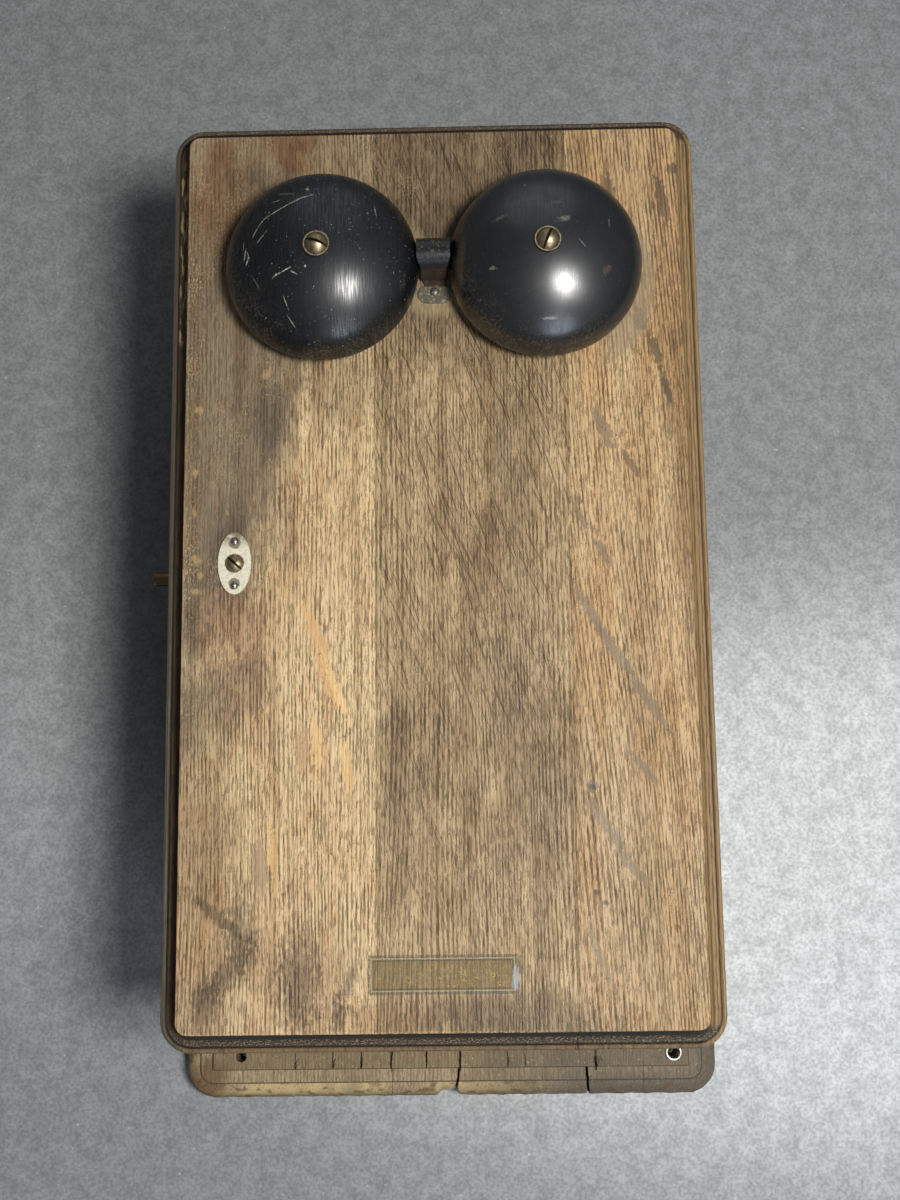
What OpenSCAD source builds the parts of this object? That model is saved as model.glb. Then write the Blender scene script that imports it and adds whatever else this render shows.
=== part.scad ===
// Ringer and generator box of an antique wall telephone: an oak case on a moulded backboard,
// with a hinged door that carries two gongs, and a hand generator inside.
// Millimetres. X is to the right seen from the front, Z is up, and the front faces -Y.
// The origin is the middle of the backboard's back, which lies against the wall.

/* [Door] */
// Width of the door over its moulded edge
door_w = 213; // [208:1:240]
// Height of the door
door_h = 370; // [364:1:420]
// Thickness of the door
door_t = 19; // [17:0.5:25]
// Radius of the door's corners in plan
door_r = 12; // [10:0.5:20]
// Width of the door's moulding in plan
mould_w = 7.6; // [6:0.2:9]
// Height of the door's moulding, from the bead to the face
mould_h = 8.8; // [6:0.2:11]
// Width of the bead along the door's outer edge
bead_w = 2.2; // [1.6:0.1:3]

/* [Case] */
// Overhang of the door past the walls, on every side
overhang = 6; // [5:0.2:8]
// Thickness of the four walls
wall_t = 10; // [8:0.5:12]
// Depth of the walls, from the backboard to the door
case_depth = 110; // [106:1:140]
// Gap between the closed door and the walls
door_gap = 0.6; // [0.4:0.1:1]
// Thickness of the generator's shelf
shelf_t = 10; // [8:0.5:14]
// Depth of the grooves that hold the shelf
groove = 3; // [2:0.5:5]
// Front-to-back depth of the shelf
shelf_d = 95; // [90:1:100]
// Radius of the hole for the desk set's cord, in the bottom wall
cord_hole_r = 4.5; // [3:0.5:7]

/* [Backboard] */
// Width of the backboard
board_w = 242; // [238:1:280]
// Height of the backboard
board_h = 444; // [436:1:500]
// Thickness of the backboard at its raised field
board_t = 19; // [17:0.5:25]
// Width of the rounded outer edge
nose_w = 7.5; // [5:0.5:9]
// Width of the flat band inside the rounded edge
band_w = 6; // [4:0.5:7]
// Step from the field down to the flat band
field_step = 2; // [1:0.2:3]
// Step from the flat band down to the rounded edge
nose_step = 1.2; // [0.6:0.2:2]
// Radius of the four wall-screw holes
wall_hole_r = 2.45; // [2:0.05:3.5]
// Distance of the wall-screw holes from the backboard's sides
wall_hole_side = 23.2; // [18:0.2:26]
// Place of the wall-screw holes, from the case's end (0) to the backboard's end (1)
wall_hole_place = 0.55; // [0.4:0.01:0.58]
// Sideways shift of the wall-screw holes from the middle
wall_hole_shift = 3; // [0:0.5:4]
// Outer radius of the nickel ferrule in one wall-screw hole
ferrule_r = 3.9; // [3.6:0.1:5]
// Radius of the hole where the line wires come in
line_hole_r = 6; // [4:0.5:7]

/* [Gongs] */
// Radius of each gong at its rim
gong_r = 38.1; // [34:0.1:40]
// Height of each gong
gong_h = 24.5; // [20:0.5:28]
// Wall thickness of each gong
gong_t = 1.8; // [1.2:0.1:2.4]
// Radius of the gongs' shoulder
gong_shoulder = 16; // [12:0.5:18]
// Distance between the two gongs' centres
gong_spacing = 88; // [87:0.5:100]
// Distance of the gongs' centres below the door's top edge
gong_drop = 68; // [62:0.5:72]
// Height of the gongs' rims above the door's face
rim_gap = 7.7; // [5:0.1:10]
// Sideways place of the whole ringer from the door's middle
ringer_x = 0.4; // [-2:0.1:2]
// Radius of each gong's post
post_r = 4; // [3:0.5:5]
// Radius of the gong screws' heads
gong_screw_r = 4.6; // [3.5:0.1:6]

/* [Clapper hood] */
// Width of the hood
hood_w = 13.2; // [9:0.1:13.6]
// Height of the hood above the door's face
hood_h = 17.5; // [16.5:0.5:22]
// Radius of the hood's bend, outside
hood_r = 6.65; // [6:0.05:7.5]
// Thickness of the hood's metal
hood_t = 1; // [0.6:0.1:1.4]
// Width of the hood's neck
neck_w = 7.5; // [5:0.1:9]
// Length of the hood's foot
foot_l = 9.2; // [8:0.1:12]

/* [Ringer] */
// Radius of each ringer coil
coil_r = 12; // [9:0.5:13]
// Length of each ringer coil
coil_l = 40; // [34:1:44]
// Distance between the two coils' axes
coil_spacing = 34; // [32:1:40]
// Radius of the coils' iron cores
core_r = 4; // [3:0.5:5]
// Radius of the clapper's ball
ball_r = 3.9; // [3:0.1:4.2]
// Radius of the clapper's rod
rod_r = 1.1; // [0.8:0.1:1.5]
// Thickness of the ringer's plate
plate_t = 3; // [2:0.5:4]
// Air gap between the cores and the armature at rest
air_gap = 1.5; // [1:0.1:2]

/* [Latch] */
// Distance of the latch from the door's left edge
latch_inset = 27.9; // [26:0.1:34]
// Width of the latch's oval plate
oval_w = 12.9; // [11:0.1:16]
// Height of the latch's oval plate
oval_h = 24.4; // [21:0.1:30]
// Radius of the latch screw's head
latch_head_r = 3.7; // [3.2:0.1:5]
// Radius of the latch screw's stem
latch_r = 2.5; // [1.5:0.1:3]

/* [Hinges] */
// Height of each hinge
hinge_h = 48; // [36:1:60]
// Distance of each hinge's middle from the case's end
hinge_inset = 55; // [40:1:70]
// Width of each hinge leaf, from the pin's axis
leaf_w = 15; // [12:0.5:18]
// Thickness of the hinge leaves
leaf_t = 1.2; // [1:0.1:1.5]
// Radius of the hinge knuckles
knuckle_r = 2.6; // [2.3:0.1:3]
// Radius of the hinge pins
pin_r = 1.3; // [1:0.1:1.5]

/* [Generator] */
// Distance of the crank shaft in front of the backboard
crank_stand = 55; // [48:1:60]
// Height of the crank shaft above the door's middle
crank_z = 8; // [0:0.5:8]
// Radius of the crank shaft where it runs in its bearings
shaft_r = 3.5; // [3.3:0.1:4.2]
// Radius of the shaft's end that the crank fits on
crank_r = 3; // [2.2:0.1:3.1]
// Length of the crank shaft outside the left wall
stub_l = 26; // [10:1:40]
// Size of the gear teeth (pitch diameter over number of teeth)
tooth_module = 0.9; // [0.85:0.01:0.92]
// Teeth on the drive gear
gear_teeth = 70; // [68:1:72]
// Teeth on the armature's pinion
pinion_teeth = 14; // [14:1:16]
// Width of the drive gear
gear_w = 5; // [3:0.5:6]
// Radius of the turning armature
arm_r = 19; // [15:0.5:20]
// Gap between the armature and the pole pieces
arm_gap = 0.5; // [0.4:0.1:1]
// Half the width of the pole pieces together
pole_half = 22; // [21.5:0.5:24]
// Length of the pole pieces
pole_l = 64; // [56:1:76]
// Number of magnet bars
magnet_count = 4; // [3:1:5]
// Thickness of the magnet bars
magnet_t = 9; // [7:0.5:11]
// Thickness of the generator's end plates
end_t = 4; // [3:0.5:6]
// Radius of the armature's shaft
arm_shaft_r = 2.5; // [2:0.1:3]

/* [Fittings] */
// Length of the induction coil over its wooden heads
induction_l = 96; // [80:1:120]
// Radius of the induction coil's winding
induction_r = 13; // [10:0.5:15]
// Side of the induction coil's square heads
head_s = 32; // [31:1:36]
// Distance of the induction coil's axis below the case's top wall
induction_drop = 68; // [64:1:72]
// Length of the terminal strip
strip_l = 150; // [130:1:160]
// Distance of the terminal strip below the case's top wall
strip_drop = 20; // [16:1:22]
// Number of terminals
terminal_count = 8; // [6:1:9]
// Width of the condenser's can
can_w = 44; // [36:1:56]
// Height of the condenser's can
can_h = 84; // [70:1:90]
// Depth of the condenser's can
can_d = 24; // [18:1:28]
// Radius of the insulated wires
wire_r = 1.1; // [0.8:0.1:1.3]

/* [Fits] */
// Running clearance of each shaft and pin in its bore
run_fit = 0.05; // [0.03:0.01:0.08]
// Clearance between pieces that pass each other
free_fit = 0.4; // [0.3:0.05:0.6]

/* [Hidden] */
$fn = 64;

// How far a cutting shape runs past the face that it opens
cut = 1;

// Planes from the wall to the front
field_y = -board_t;
front_y = field_y - case_depth;
door_y = front_y - door_gap;
face_y = door_y - door_t;

// Case
case_w = door_w - 2 * overhang;
case_h = door_h - 2 * overhang;
inner_w = case_w - 2 * wall_t;
inner_h = case_h - 2 * wall_t;
board_r = nose_w + band_w;
wall_hole_x = board_w / 2 - wall_hole_side;
wall_hole_z = case_h / 2 + wall_hole_place * (board_h - case_h) / 2;
ferrule_l = board_t / 3;
sleeve_r = ferrule_r - 0.6;
nose_round = 9;
cord_hole_x = inner_w / 4;
cord_hole_y = field_y - 18;

// Hinges: the door's leaf is let into the door, and the case's leaf lies on the right wall
leaf_let = leaf_t - door_gap / 2;
hinge_x = case_w / 2 + knuckle_r + door_gap / 2;
hinge_y = door_y - leaf_let + knuckle_r;
hinge_z = case_h / 2 - hinge_inset;
knuckle_gap = 0.3;
third = hinge_h / 3;
leaf_start = knuckle_r + free_fit;
hinge_screw_x = (leaf_w + leaf_start) / 2;

// Small screws
screw_r = 2;
screw_h = 1.3;

// Gongs
gong_places = [ringer_x - gong_spacing / 2, ringer_x + gong_spacing / 2];
gong_z = door_h / 2 - gong_drop;
rim_y = face_y - rim_gap;
crown_y = rim_y - gong_h;
skirt = 0.5;
post_hole_r = post_r + 2.5;
washer_r = gong_screw_r + 0.7;
washer_t = 0.8;
gong_head_h = 2.8;
gong_slots = [-20, 67];

// Hood
hood_z = gong_z + 3.3;
hood_leg = hood_h - hood_r;
tongue = 4;
foot_z = hood_z - hood_r - foot_l / 2;
slot_w = 8;
slot_h = 9;

// Ringer, hung on the back of the door
coil_y = door_y + plate_t + 2 + coil_r;
yoke_t = 6;
yoke_z = gong_z - 20;
yoke_back = coil_y + coil_r + 1.5;
core_tip_z = yoke_z - coil_l - 3;
bar_h = 3;
bar_z = core_tip_z - air_gap - bar_h;
bar_w = coil_spacing + 2 * core_r + 6;
bar_d = 8;
pivot_r = 1.2;
pivot_z = bar_z + bar_h / 2;
ear_t = 2.5;
ear_y = bar_d / 2 + 1.5;
bracket_w = 9;
ringer_magnet_t = 6;
ringer_magnet_w = 14;
plate_bar_h = 22;
stem_w = 26;
plate_screw_x = gong_spacing / 2 - 13;
ball_y = rim_y - 4;

// Latch
latch_x = -door_w / 2 + latch_inset;
oval_t = 1;
latch_head_h = 1.8;
keeper_t = 1.2;
keeper_lip = 6;
keeper_y = door_y + 3.1;
cam_y = keeper_y + keeper_t + free_fit;
cam_t = 2;
cam_w = 7;
cam_reach = latch_x + inner_w / 2 - keeper_t - 0.7;
latch_pin_drop = oval_h / 2 - 3.5;
latch_slot = -42;

// Generator
crank_y = field_y - crank_stand;
gear_pitch_r = tooth_module * gear_teeth / 2;
pinion_pitch_r = tooth_module * pinion_teeth / 2;
arm_z = crank_z - gear_pitch_r - pinion_pitch_r;
pole_low = arm_z - arm_r - arm_gap - 1.5;
pole_high = arm_z + arm_r + arm_gap + 1.5;
pole_split = 8;
bed_t = 4;
bed_d = 2 * (pole_half + magnet_t) + 22;
bed_l = pole_l + 2 * end_t + 8;
bed_z = pole_low - bed_t;
shelf_z = bed_z - shelf_t;
magnet_space = 1;
magnet_w = (pole_l - 3 - (magnet_count - 1) * magnet_space) / magnet_count;
end_x = pole_l / 2;
boss_r = shaft_r + 3.5;
boss_t = 2;
gear_x = end_x + end_t + boss_t + 0.5;
gear_hub_l = 5;
gear_hub_r = shaft_r + 3.5;
arm_l = pole_l - 2;
web_t = 10;
cheek_t = 7;
spoke_count = 5;
spoke_pitch = 360 / spoke_count;
spoke_w = 5;
bush_r = shaft_r + 3.5;
flange_r = bush_r + 3.5;
flange_t = 2;
tip_l = 1;
shoulder_x = -case_w / 2 - flange_t - free_fit;
collar_t = 3;
collar_gap = 0.5;
clamp_h = 8;
clamp_t = 2.5;
clamp_z = pole_low + 12;
clamp_l = pole_l - 4;
end_screw_r = 2.2;
end_screw_h = 1.8;
contact_x = -end_x - end_t;
contact_z = crank_z - 12;
contact_drop = boss_r + 6;
contact_l = 16;
contact_d = 8;

// Fittings on the backboard
head_t = 8;
induction_z = inner_h / 2 - induction_drop;
induction_y = field_y - head_s / 2;
induction_core_r = 5;
strip_h = 20;
strip_t = 9;
strip_z = inner_h / 2 - strip_drop;
terminal_pitch = (strip_l - 24) / (terminal_count - 1);
terminal_r = 4.2;
line_hole_z = (strip_z - strip_h / 2 + induction_z + head_s / 2) / 2;
strap_t = 1;
strap_w = 12;
strap_ear = 10;
can_x = -inner_w / 2 + can_w / 2 + strap_ear + 3;
can_z = shelf_z - can_h / 2 - 12;
notch_w = 20;
notch_d = can_d / 2 + wire_r + 2;

// Wires
bend_r = 4;
wire_lift = wire_r + 0.3;
lane_pitch = 4;

// ---------- shapes that repeat ----------

// Points on an arc, from angle a to angle b in n steps
function arc(c, r, a, b, n) =
    [for (i = [0 : n]) c + r * [cos(a + (b - a) * i / n), sin(a + (b - a) * i / n)]];

// Draws in X and Z, and grows towards the front from the plane y
module to_front(y) {
    translate([0, y, 0]) rotate([90, 0, 0]) children();
}

// Draws in Z and the distance in front of the plane y, and grows along +X from x
module from_side(x, y) {
    translate([x, y, 0]) rotate([0, -90, 180]) children();
}

// Draws in Y and Z, and grows along +X from x
module along_x(x) {
    translate([x, 0, 0]) rotate([90, 0, 90]) children();
}

// A box between two corners
module box(low, high) {
    translate(low) cube(high - low);
}

// A round bar along X
module bar_x(x, y, z, r, l) {
    translate([x, y, z]) rotate([0, 90, 0]) cylinder(r = r, h = l);
}

// A round bar towards the front
module bar_y(x, y, z, r, l) {
    translate([x, y, z]) rotate([90, 0, 0]) cylinder(r = r, h = l);
}

module round_rect(w, h, r) {
    square([w - 2 * r, h], center = true);
    square([w, h - 2 * r], center = true);
    for (x = [-1, 1], y = [-1, 1]) translate([x * (w / 2 - r), y * (h / 2 - r)]) circle(r);
}

// A slab with the same moulding round all four sides. The profile starts at the corner's
// centre, at 0, and reaches out to the radius r
module moulded_slab(w, h, r, t, profile) {
    linear_extrude(t) square([w - 2 * r, h - 2 * r], center = true);
    for (side = [0 : 3]) {
        reach = (side % 2 == 0 ? w : h) / 2 - r;
        run = (side % 2 == 0 ? h : w) - 2 * r;
        rotate(90 * side) translate([reach, 0, 0]) rotate([90, 0, 0])
            linear_extrude(run, center = true) polygon(profile);
        rotate(90 * side) translate([reach, run / 2, 0])
            rotate_extrude(angle = 90) polygon(profile);
    }
}

// A low round screw head that points to the front, with its slot turned by an angle
module round_head(r, h, slot_angle) {
    dome_r = (r * r + h * h) / (2 * h);
    difference() {
        intersection() {
            translate([0, 0, h - dome_r]) sphere(r = dome_r);
            cylinder(r = r, h = h);
        }
        rotate(slot_angle) translate([-r - cut, -r / 10, h * 0.55])
            cube([2 * r + 2 * cut, r / 5, h]);
    }
}

// A slotted cheese head, for the small screws
module flat_head(r, h) {
    difference() {
        cylinder(r = r, h = h);
        translate([-r - cut, -0.3, h * 0.6]) cube([2 * r + 2 * cut, 0.6, h]);
    }
}

// A wire of radius r through points that are joined by runs along the axes
module wire(points, r = wire_r, bend = bend_r) {
    last = len(points) - 1;
    dirs = [for (i = [0 : last - 1]) (points[i + 1] - points[i]) / norm(points[i + 1] - points[i])];
    for (i = [0 : last - 1]) {
        d = dirs[i];
        u = [d.y, d.z, d.x];
        v = cross(d, u);
        start = points[i] + d * (i == 0 ? 0 : bend);
        end = points[i + 1] - d * (i == last - 1 ? 0 : bend);
        translate(start) multmatrix([[u.x, v.x, d.x, 0], [u.y, v.y, d.y, 0], [u.z, v.z, d.z, 0]])
            cylinder(r = r, h = norm(end - start), $fn = 24);
    }
    for (i = [1 : 1 : last - 1]) {
        a = -dirs[i];
        b = dirs[i - 1];
        n = cross(a, b);
        translate(points[i] - b * bend - a * bend)
            multmatrix([[a.x, b.x, n.x, 0], [a.y, b.y, n.y, 0], [a.z, b.z, n.z, 0]])
            rotate_extrude(angle = 90, $fn = 48) translate([bend, 0]) circle(r, $fn = 24);
    }
}

// Involute of an angle, in degrees
function inv(a) = tan(a) * 180 / PI - a;

// Half the angle that a tooth takes up at the radius rho, with a little backlash
function tooth_half(teeth, rho) =
    let (pitch_r = tooth_module * teeth / 2, backlash = 0.05 * 180 / PI / pitch_r)
    90 / teeth - backlash + inv(20) - inv(acos(min(1, pitch_r * cos(20) / rho)));

// Outline of a spur gear with stub involute teeth
module gear_outline(teeth) {
    pitch_r = tooth_module * teeth / 2;
    root_r = pitch_r - tooth_module;
    tip_r = pitch_r + 0.8 * tooth_module;
    steps = 3;
    radii = [for (i = [0 : steps]) root_r + (tip_r - root_r) * i / steps];
    polygon([for (k = [0 : teeth - 1], side = [-1, 1], i = [0 : steps])
        let (rho = radii[side < 0 ? i : steps - i], a = 360 * k / teeth + side * tooth_half(teeth, rho))
        rho * [cos(a), sin(a)]]);
}

// ---------- the case ----------

module backboard() {
    nose_top = board_t - field_step - nose_step;
    nose_low = nose_top - nose_round;
    profile = concat(
        [[0, 0], [board_r, 0]],
        [for (i = [0 : 8]) [
            band_w + nose_w * cos(90 * i / 8),
            nose_low + nose_round * sin(90 * i / 8)]],
        [[band_w, board_t - field_step], [0, board_t - field_step]]
    );
    color("#6b5138") difference() {
        rotate([90, 0, 0]) moulded_slab(board_w, board_h, board_r, board_t, profile);
        for (x = [-1, 1], z = [-1, 1]) {
            translate([wall_hole_shift + x * wall_hole_x, 0, z * wall_hole_z]) {
                bar_y(0, cut, 0, wall_hole_r, board_t + 2 * cut);
            }
        }
        translate([wall_hole_shift + wall_hole_x, 0, -wall_hole_z])
            bar_y(0, field_y + ferrule_l, 0, sleeve_r, ferrule_l + cut);
        bar_y(0, cut, line_hole_z, line_hole_r, board_t + 2 * cut);
    }
}

module wall_screw_ferrule() {
    color("#c9c6bd") translate([wall_hole_shift + wall_hole_x, field_y, -wall_hole_z]) rotate([90, 0, 0])
        rotate_extrude() polygon(concat(
            [[wall_hole_r, -ferrule_l], [sleeve_r, -ferrule_l], [sleeve_r, 0], [ferrule_r, 0]],
            arc([ferrule_r - 0.7, 0.1], 0.7, 0, 90, 4),
            arc([wall_hole_r + 0.7, 0.1], 0.7, 90, 180, 4)
        ));
}

// A side wall, drawn for the right: rebated for the top and bottom, grooved for the shelf
module side_wall() {
    half = case_w / 2;
    difference() {
        box([half - wall_t, front_y, -case_h / 2], [half, field_y, case_h / 2]);
        for (z = [-1, 1]) translate([0, 0, z * (case_h / 2 - wall_t / 2)])
            box([half - wall_t - cut, front_y - cut, -wall_t / 2 - (z < 0 ? cut : 0)],
                [half - wall_t / 2, field_y + cut, wall_t / 2 + (z > 0 ? cut : 0)]);
        box([half - wall_t - cut, field_y - shelf_d, shelf_z],
            [half - wall_t + groove, field_y + cut, shelf_z + shelf_t]);
    }
}

module left_wall() {
    color("#5d432b") difference() {
        mirror([1, 0, 0]) side_wall();
        bar_x(-case_w / 2 - cut, crank_y, crank_z, bush_r, wall_t + 2 * cut);
    }
}

module right_wall() {
    color("#5d432b") side_wall();
}

module end_wall(z) {
    half = case_w / 2 - wall_t / 2;
    box([-half, front_y, z], [half, field_y, z + wall_t]);
}

module top_wall() {
    color("#5d432b") end_wall(case_h / 2 - wall_t);
}

module bottom_wall() {
    color("#5d432b") difference() {
        end_wall(-case_h / 2);
        translate([cord_hole_x, cord_hole_y, -case_h / 2 - cut])
            cylinder(r = cord_hole_r, h = wall_t + 2 * cut);
    }
}

module generator_shelf() {
    half = inner_w / 2 + groove;
    color("#6b4f33") difference() {
        box([-half, field_y - shelf_d, shelf_z], [half, field_y, shelf_z + shelf_t]);
        for (side = [0, 1]) mirror([side, 0, 0])
            box([inner_w / 2 - notch_w, field_y - notch_d, shelf_z - cut],
                [half + cut, field_y + cut, shelf_z + shelf_t + cut]);
    }
}

// ---------- hinges ----------

module case_hinge_leaves() {
    wall_x = case_w / 2;
    color("#b08d4c") for (z = [-1, 1]) translate([0, 0, z * hinge_z - hinge_h / 2]) {
        difference() {
            union() {
                box([wall_x, hinge_y + leaf_start, 0], [wall_x + leaf_t, hinge_y + leaf_w, hinge_h]);
                for (k = [0, 2]) translate([0, 0, k * third]) {
                    box([wall_x, hinge_y, 0], [wall_x + leaf_t, hinge_y + leaf_start, third]);
                    translate([hinge_x, hinge_y, 0]) cylinder(r = knuckle_r, h = third);
                }
            }
            translate([hinge_x, hinge_y, -cut]) cylinder(r = pin_r + run_fit, h = hinge_h + 2 * cut);
            for (k = [0 : 2])
                bar_x(wall_x - cut, hinge_y + hinge_screw_x, (k + 0.5) * third, screw_r, leaf_t + 2 * cut);
        }
    }
}

module door_hinge_leaves() {
    leaf_y = door_y - leaf_let;
    color("#b08d4c") for (z = [-1, 1]) translate([0, 0, z * hinge_z - hinge_h / 2]) {
        difference() {
            union() {
                box([hinge_x - leaf_w, leaf_y, 0], [hinge_x - leaf_start, leaf_y + leaf_t, hinge_h]);
                box([hinge_x - leaf_start, leaf_y, third + knuckle_gap],
                    [hinge_x, leaf_y + leaf_t, 2 * third - knuckle_gap]);
                translate([hinge_x, hinge_y, third + knuckle_gap])
                    cylinder(r = knuckle_r, h = third - 2 * knuckle_gap);
            }
            translate([hinge_x, hinge_y, -cut]) cylinder(r = pin_r + run_fit, h = hinge_h + 2 * cut);
            for (k = [0 : 2])
                bar_y(hinge_x - hinge_screw_x, leaf_y + leaf_t + cut, (k + 0.5) * third, screw_r,
                    leaf_t + 2 * cut);
        }
    }
}

module hinge_pins() {
    color("#9c8a5e") for (z = [-1, 1]) translate([hinge_x, hinge_y, z * hinge_z - hinge_h / 2 - 1]) {
        cylinder(r = pin_r, h = hinge_h + 1);
        translate([0, 0, hinge_h + 1]) cylinder(r = knuckle_r - 0.4, h = 1);
    }
}

// ---------- latch keeper and screws of the case ----------

module latch_keeper() {
    wall_x = -inner_w / 2;
    color("#b08d4c") difference() {
        union() {
            box([wall_x, keeper_y, -11], [wall_x + keeper_t, keeper_y + 15, 11]);
            box([wall_x, keeper_y, -6], [wall_x + keeper_lip, keeper_y + keeper_t, 6]);
        }
        for (z = [-1, 1]) bar_x(wall_x - cut, keeper_y + 9, z * 7, 1.2, keeper_t + 2 * cut);
    }
}

module case_screws() {
    color("#a58a55") {
        for (z = [-1, 1], k = [-1, 0, 1])
            translate([case_w / 2, hinge_y + hinge_screw_x, z * hinge_z + k * third])
            rotate([0, 90, 0]) flat_head(screw_r, leaf_t);
        for (z = [-1, 1]) translate([-inner_w / 2 + keeper_t, keeper_y + 9, z * 7])
            rotate([0, 90, 0]) flat_head(screw_r, screw_h);
        for (x = [-1, 1]) translate([can_x + x * (can_w / 2 + strap_ear / 2), field_y - strap_t, can_z])
            rotate([90, 0, 0]) flat_head(screw_r, screw_h);
        for (x = [-1, 1]) translate([x * (strip_l / 2 - 4), field_y - strip_t, strip_z])
            rotate([90, 0, 0]) flat_head(screw_r, screw_h);
    }
}

// ---------- generator ----------

module shaft_bushing() {
    color("#a8874a") difference() {
        union() {
            bar_x(-case_w / 2 - flange_t, crank_y, crank_z, flange_r, flange_t);
            bar_x(-case_w / 2, crank_y, crank_z, bush_r, wall_t);
        }
        bar_x(-case_w / 2 - flange_t - cut, crank_y, crank_z, shaft_r + run_fit,
            wall_t + flange_t + 2 * cut);
    }
}

module bed_plate() {
    color("#9c7f45") translate([0, crank_y, bed_z]) linear_extrude(bed_t) round_rect(bed_l, bed_d, 5);
}

module generator_screws() {
    color("#8a8a86") {
        for (x = [-1, 1], y = [-1, 1])
            translate([x * (bed_l / 2 - 7), crank_y + y * (bed_d / 2 - 5), bed_z + bed_t])
            flat_head(end_screw_r + 0.6, end_screw_h);
        for (side = [-1, 1], y = [-1, 1], z = [-1, 1])
            translate([side * (end_x + end_t), crank_y + y * (pole_half - 5), arm_z + z * (arm_r - 3)])
            rotate([0, side * 90, 0]) flat_head(end_screw_r, end_screw_h);
        for (side = [-1, 1], x = [-1, 1])
            translate([x * (clamp_l / 2 - 6), crank_y + side * (pole_half + magnet_t + clamp_t), clamp_z])
            rotate([-side * 90, 0, 0]) flat_head(end_screw_r, end_screw_h);
    }
}

// The two soft-iron pole pieces round the armature
module pole_pieces() {
    color("#4a4a4a") along_x(-pole_l / 2) linear_extrude(pole_l) translate([crank_y, arm_z]) difference() {
        translate([-pole_half, pole_low - arm_z]) square([2 * pole_half, pole_high - pole_low]);
        circle(arm_r + arm_gap);
        square([pole_split, 2 * (pole_high - pole_low)], center = true);
    }
}

// Horseshoe bars side by side, over the pole pieces, with the crank shaft under their bows
module magnets() {
    color("#2f2f31") for (i = [0 : magnet_count - 1]) {
        x = (i - (magnet_count - 1) / 2) * (magnet_w + magnet_space) - magnet_w / 2;
        along_x(x) linear_extrude(magnet_w) translate([crank_y, crank_z]) difference() {
            union() {
                circle(pole_half + magnet_t);
                translate([-pole_half - magnet_t, pole_low - crank_z])
                    square([2 * (pole_half + magnet_t), crank_z - pole_low]);
            }
            circle(pole_half);
            translate([-pole_half, pole_low - crank_z - cut])
                square([2 * pole_half, crank_z - pole_low + cut]);
        }
    }
}

// Brass end plate, drawn for the right: it carries the crank shaft and the armature
module end_plate() {
    neck = shaft_r + 8.5;
    difference() {
        union() {
            along_x(end_x) linear_extrude(end_t) translate([crank_y, 0]) {
                translate([-pole_half + 1, pole_low]) square([2 * pole_half - 2, pole_high - pole_low]);
                translate([-neck, pole_high - cut]) square([2 * neck, crank_z - pole_high + cut]);
                translate([0, crank_z]) circle(neck);
            }
            bar_x(end_x + end_t, crank_y, crank_z, boss_r, boss_t);
            bar_x(end_x + end_t, crank_y, arm_z, boss_r, boss_t);
        }
        bar_x(end_x - cut, crank_y, crank_z, shaft_r + run_fit, end_t + boss_t + 2 * cut);
        bar_x(end_x - cut, crank_y, arm_z, arm_shaft_r + run_fit, end_t + boss_t + 2 * cut);
        for (z = [-1, 1]) bar_x(end_x - cut, crank_y, (crank_z + arm_z) / 2 + z * 6, 3, end_t + 2 * cut);
    }
}

module left_end_plate() {
    color("#a8874a") mirror([1, 0, 0]) end_plate();
}

module right_end_plate() {
    color("#a8874a") end_plate();
}

module magnet_clamps() {
    color("#a8874a") for (side = [-1, 1]) {
        y = crank_y + side * (pole_half + magnet_t + clamp_t / 2);
        box([-clamp_l / 2, y - clamp_t / 2, clamp_z - clamp_h / 2],
            [clamp_l / 2, y + clamp_t / 2, clamp_z + clamp_h / 2]);
    }
}

// Hard-rubber block and the springs that cut the generator in, on the left end plate
module contact_block() {
    y = crank_y + contact_drop;
    color("#1d1a19")
        box([contact_x - contact_l, y, contact_z - 6], [contact_x, y + contact_d, contact_z + 6]);
}

module contact_springs() {
    y = crank_y + contact_drop;
    color("#b8a060") for (i = [0, 1]) {
        x = contact_x - 6 - 7 * i;
        box([x, y - 1, contact_z - 5], [x + 4, y, crank_z + 16 - 5 * i]);
        bar_y(x + 2, y - 1, contact_z, 1.6, 1.2);
    }
}

module crank_shaft() {
    left = -case_w / 2 - stub_l;
    right = gear_x + gear_w + gear_hub_l + 2;
    color("#b39a63") {
        translate([left, crank_y, crank_z]) rotate([0, 90, 0])
            cylinder(r1 = crank_r - 0.8 * tip_l, r2 = crank_r, h = tip_l);
        bar_x(left + tip_l, crank_y, crank_z, crank_r, shoulder_x - left - tip_l);
        bar_x(shoulder_x, crank_y, crank_z, shaft_r, right - shoulder_x);
        bar_x(contact_x - boss_t - collar_gap - collar_t, crank_y, crank_z, shaft_r + 2.5, collar_t);
    }
}

module drive_gear() {
    rim_w = 5;
    web_r = gear_pitch_r - rim_w;
    color("#b8934a") difference() {
        union() {
            along_x(gear_x) linear_extrude(gear_w) translate([crank_y, crank_z])
                rotate(-90 + 180 / gear_teeth) gear_outline(gear_teeth);
            bar_x(gear_x + gear_w, crank_y, crank_z, gear_hub_r, gear_hub_l);
        }
        bar_x(gear_x - cut, crank_y, crank_z, shaft_r, gear_w + gear_hub_l + 2 * cut);
        for (k = [1 : spoke_count]) along_x(gear_x - cut) linear_extrude(gear_w + 2 * cut)
            translate([crank_y, crank_z]) rotate(spoke_pitch * k) spoke_window(gear_hub_r + 2, web_r);
    }
}

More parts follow.
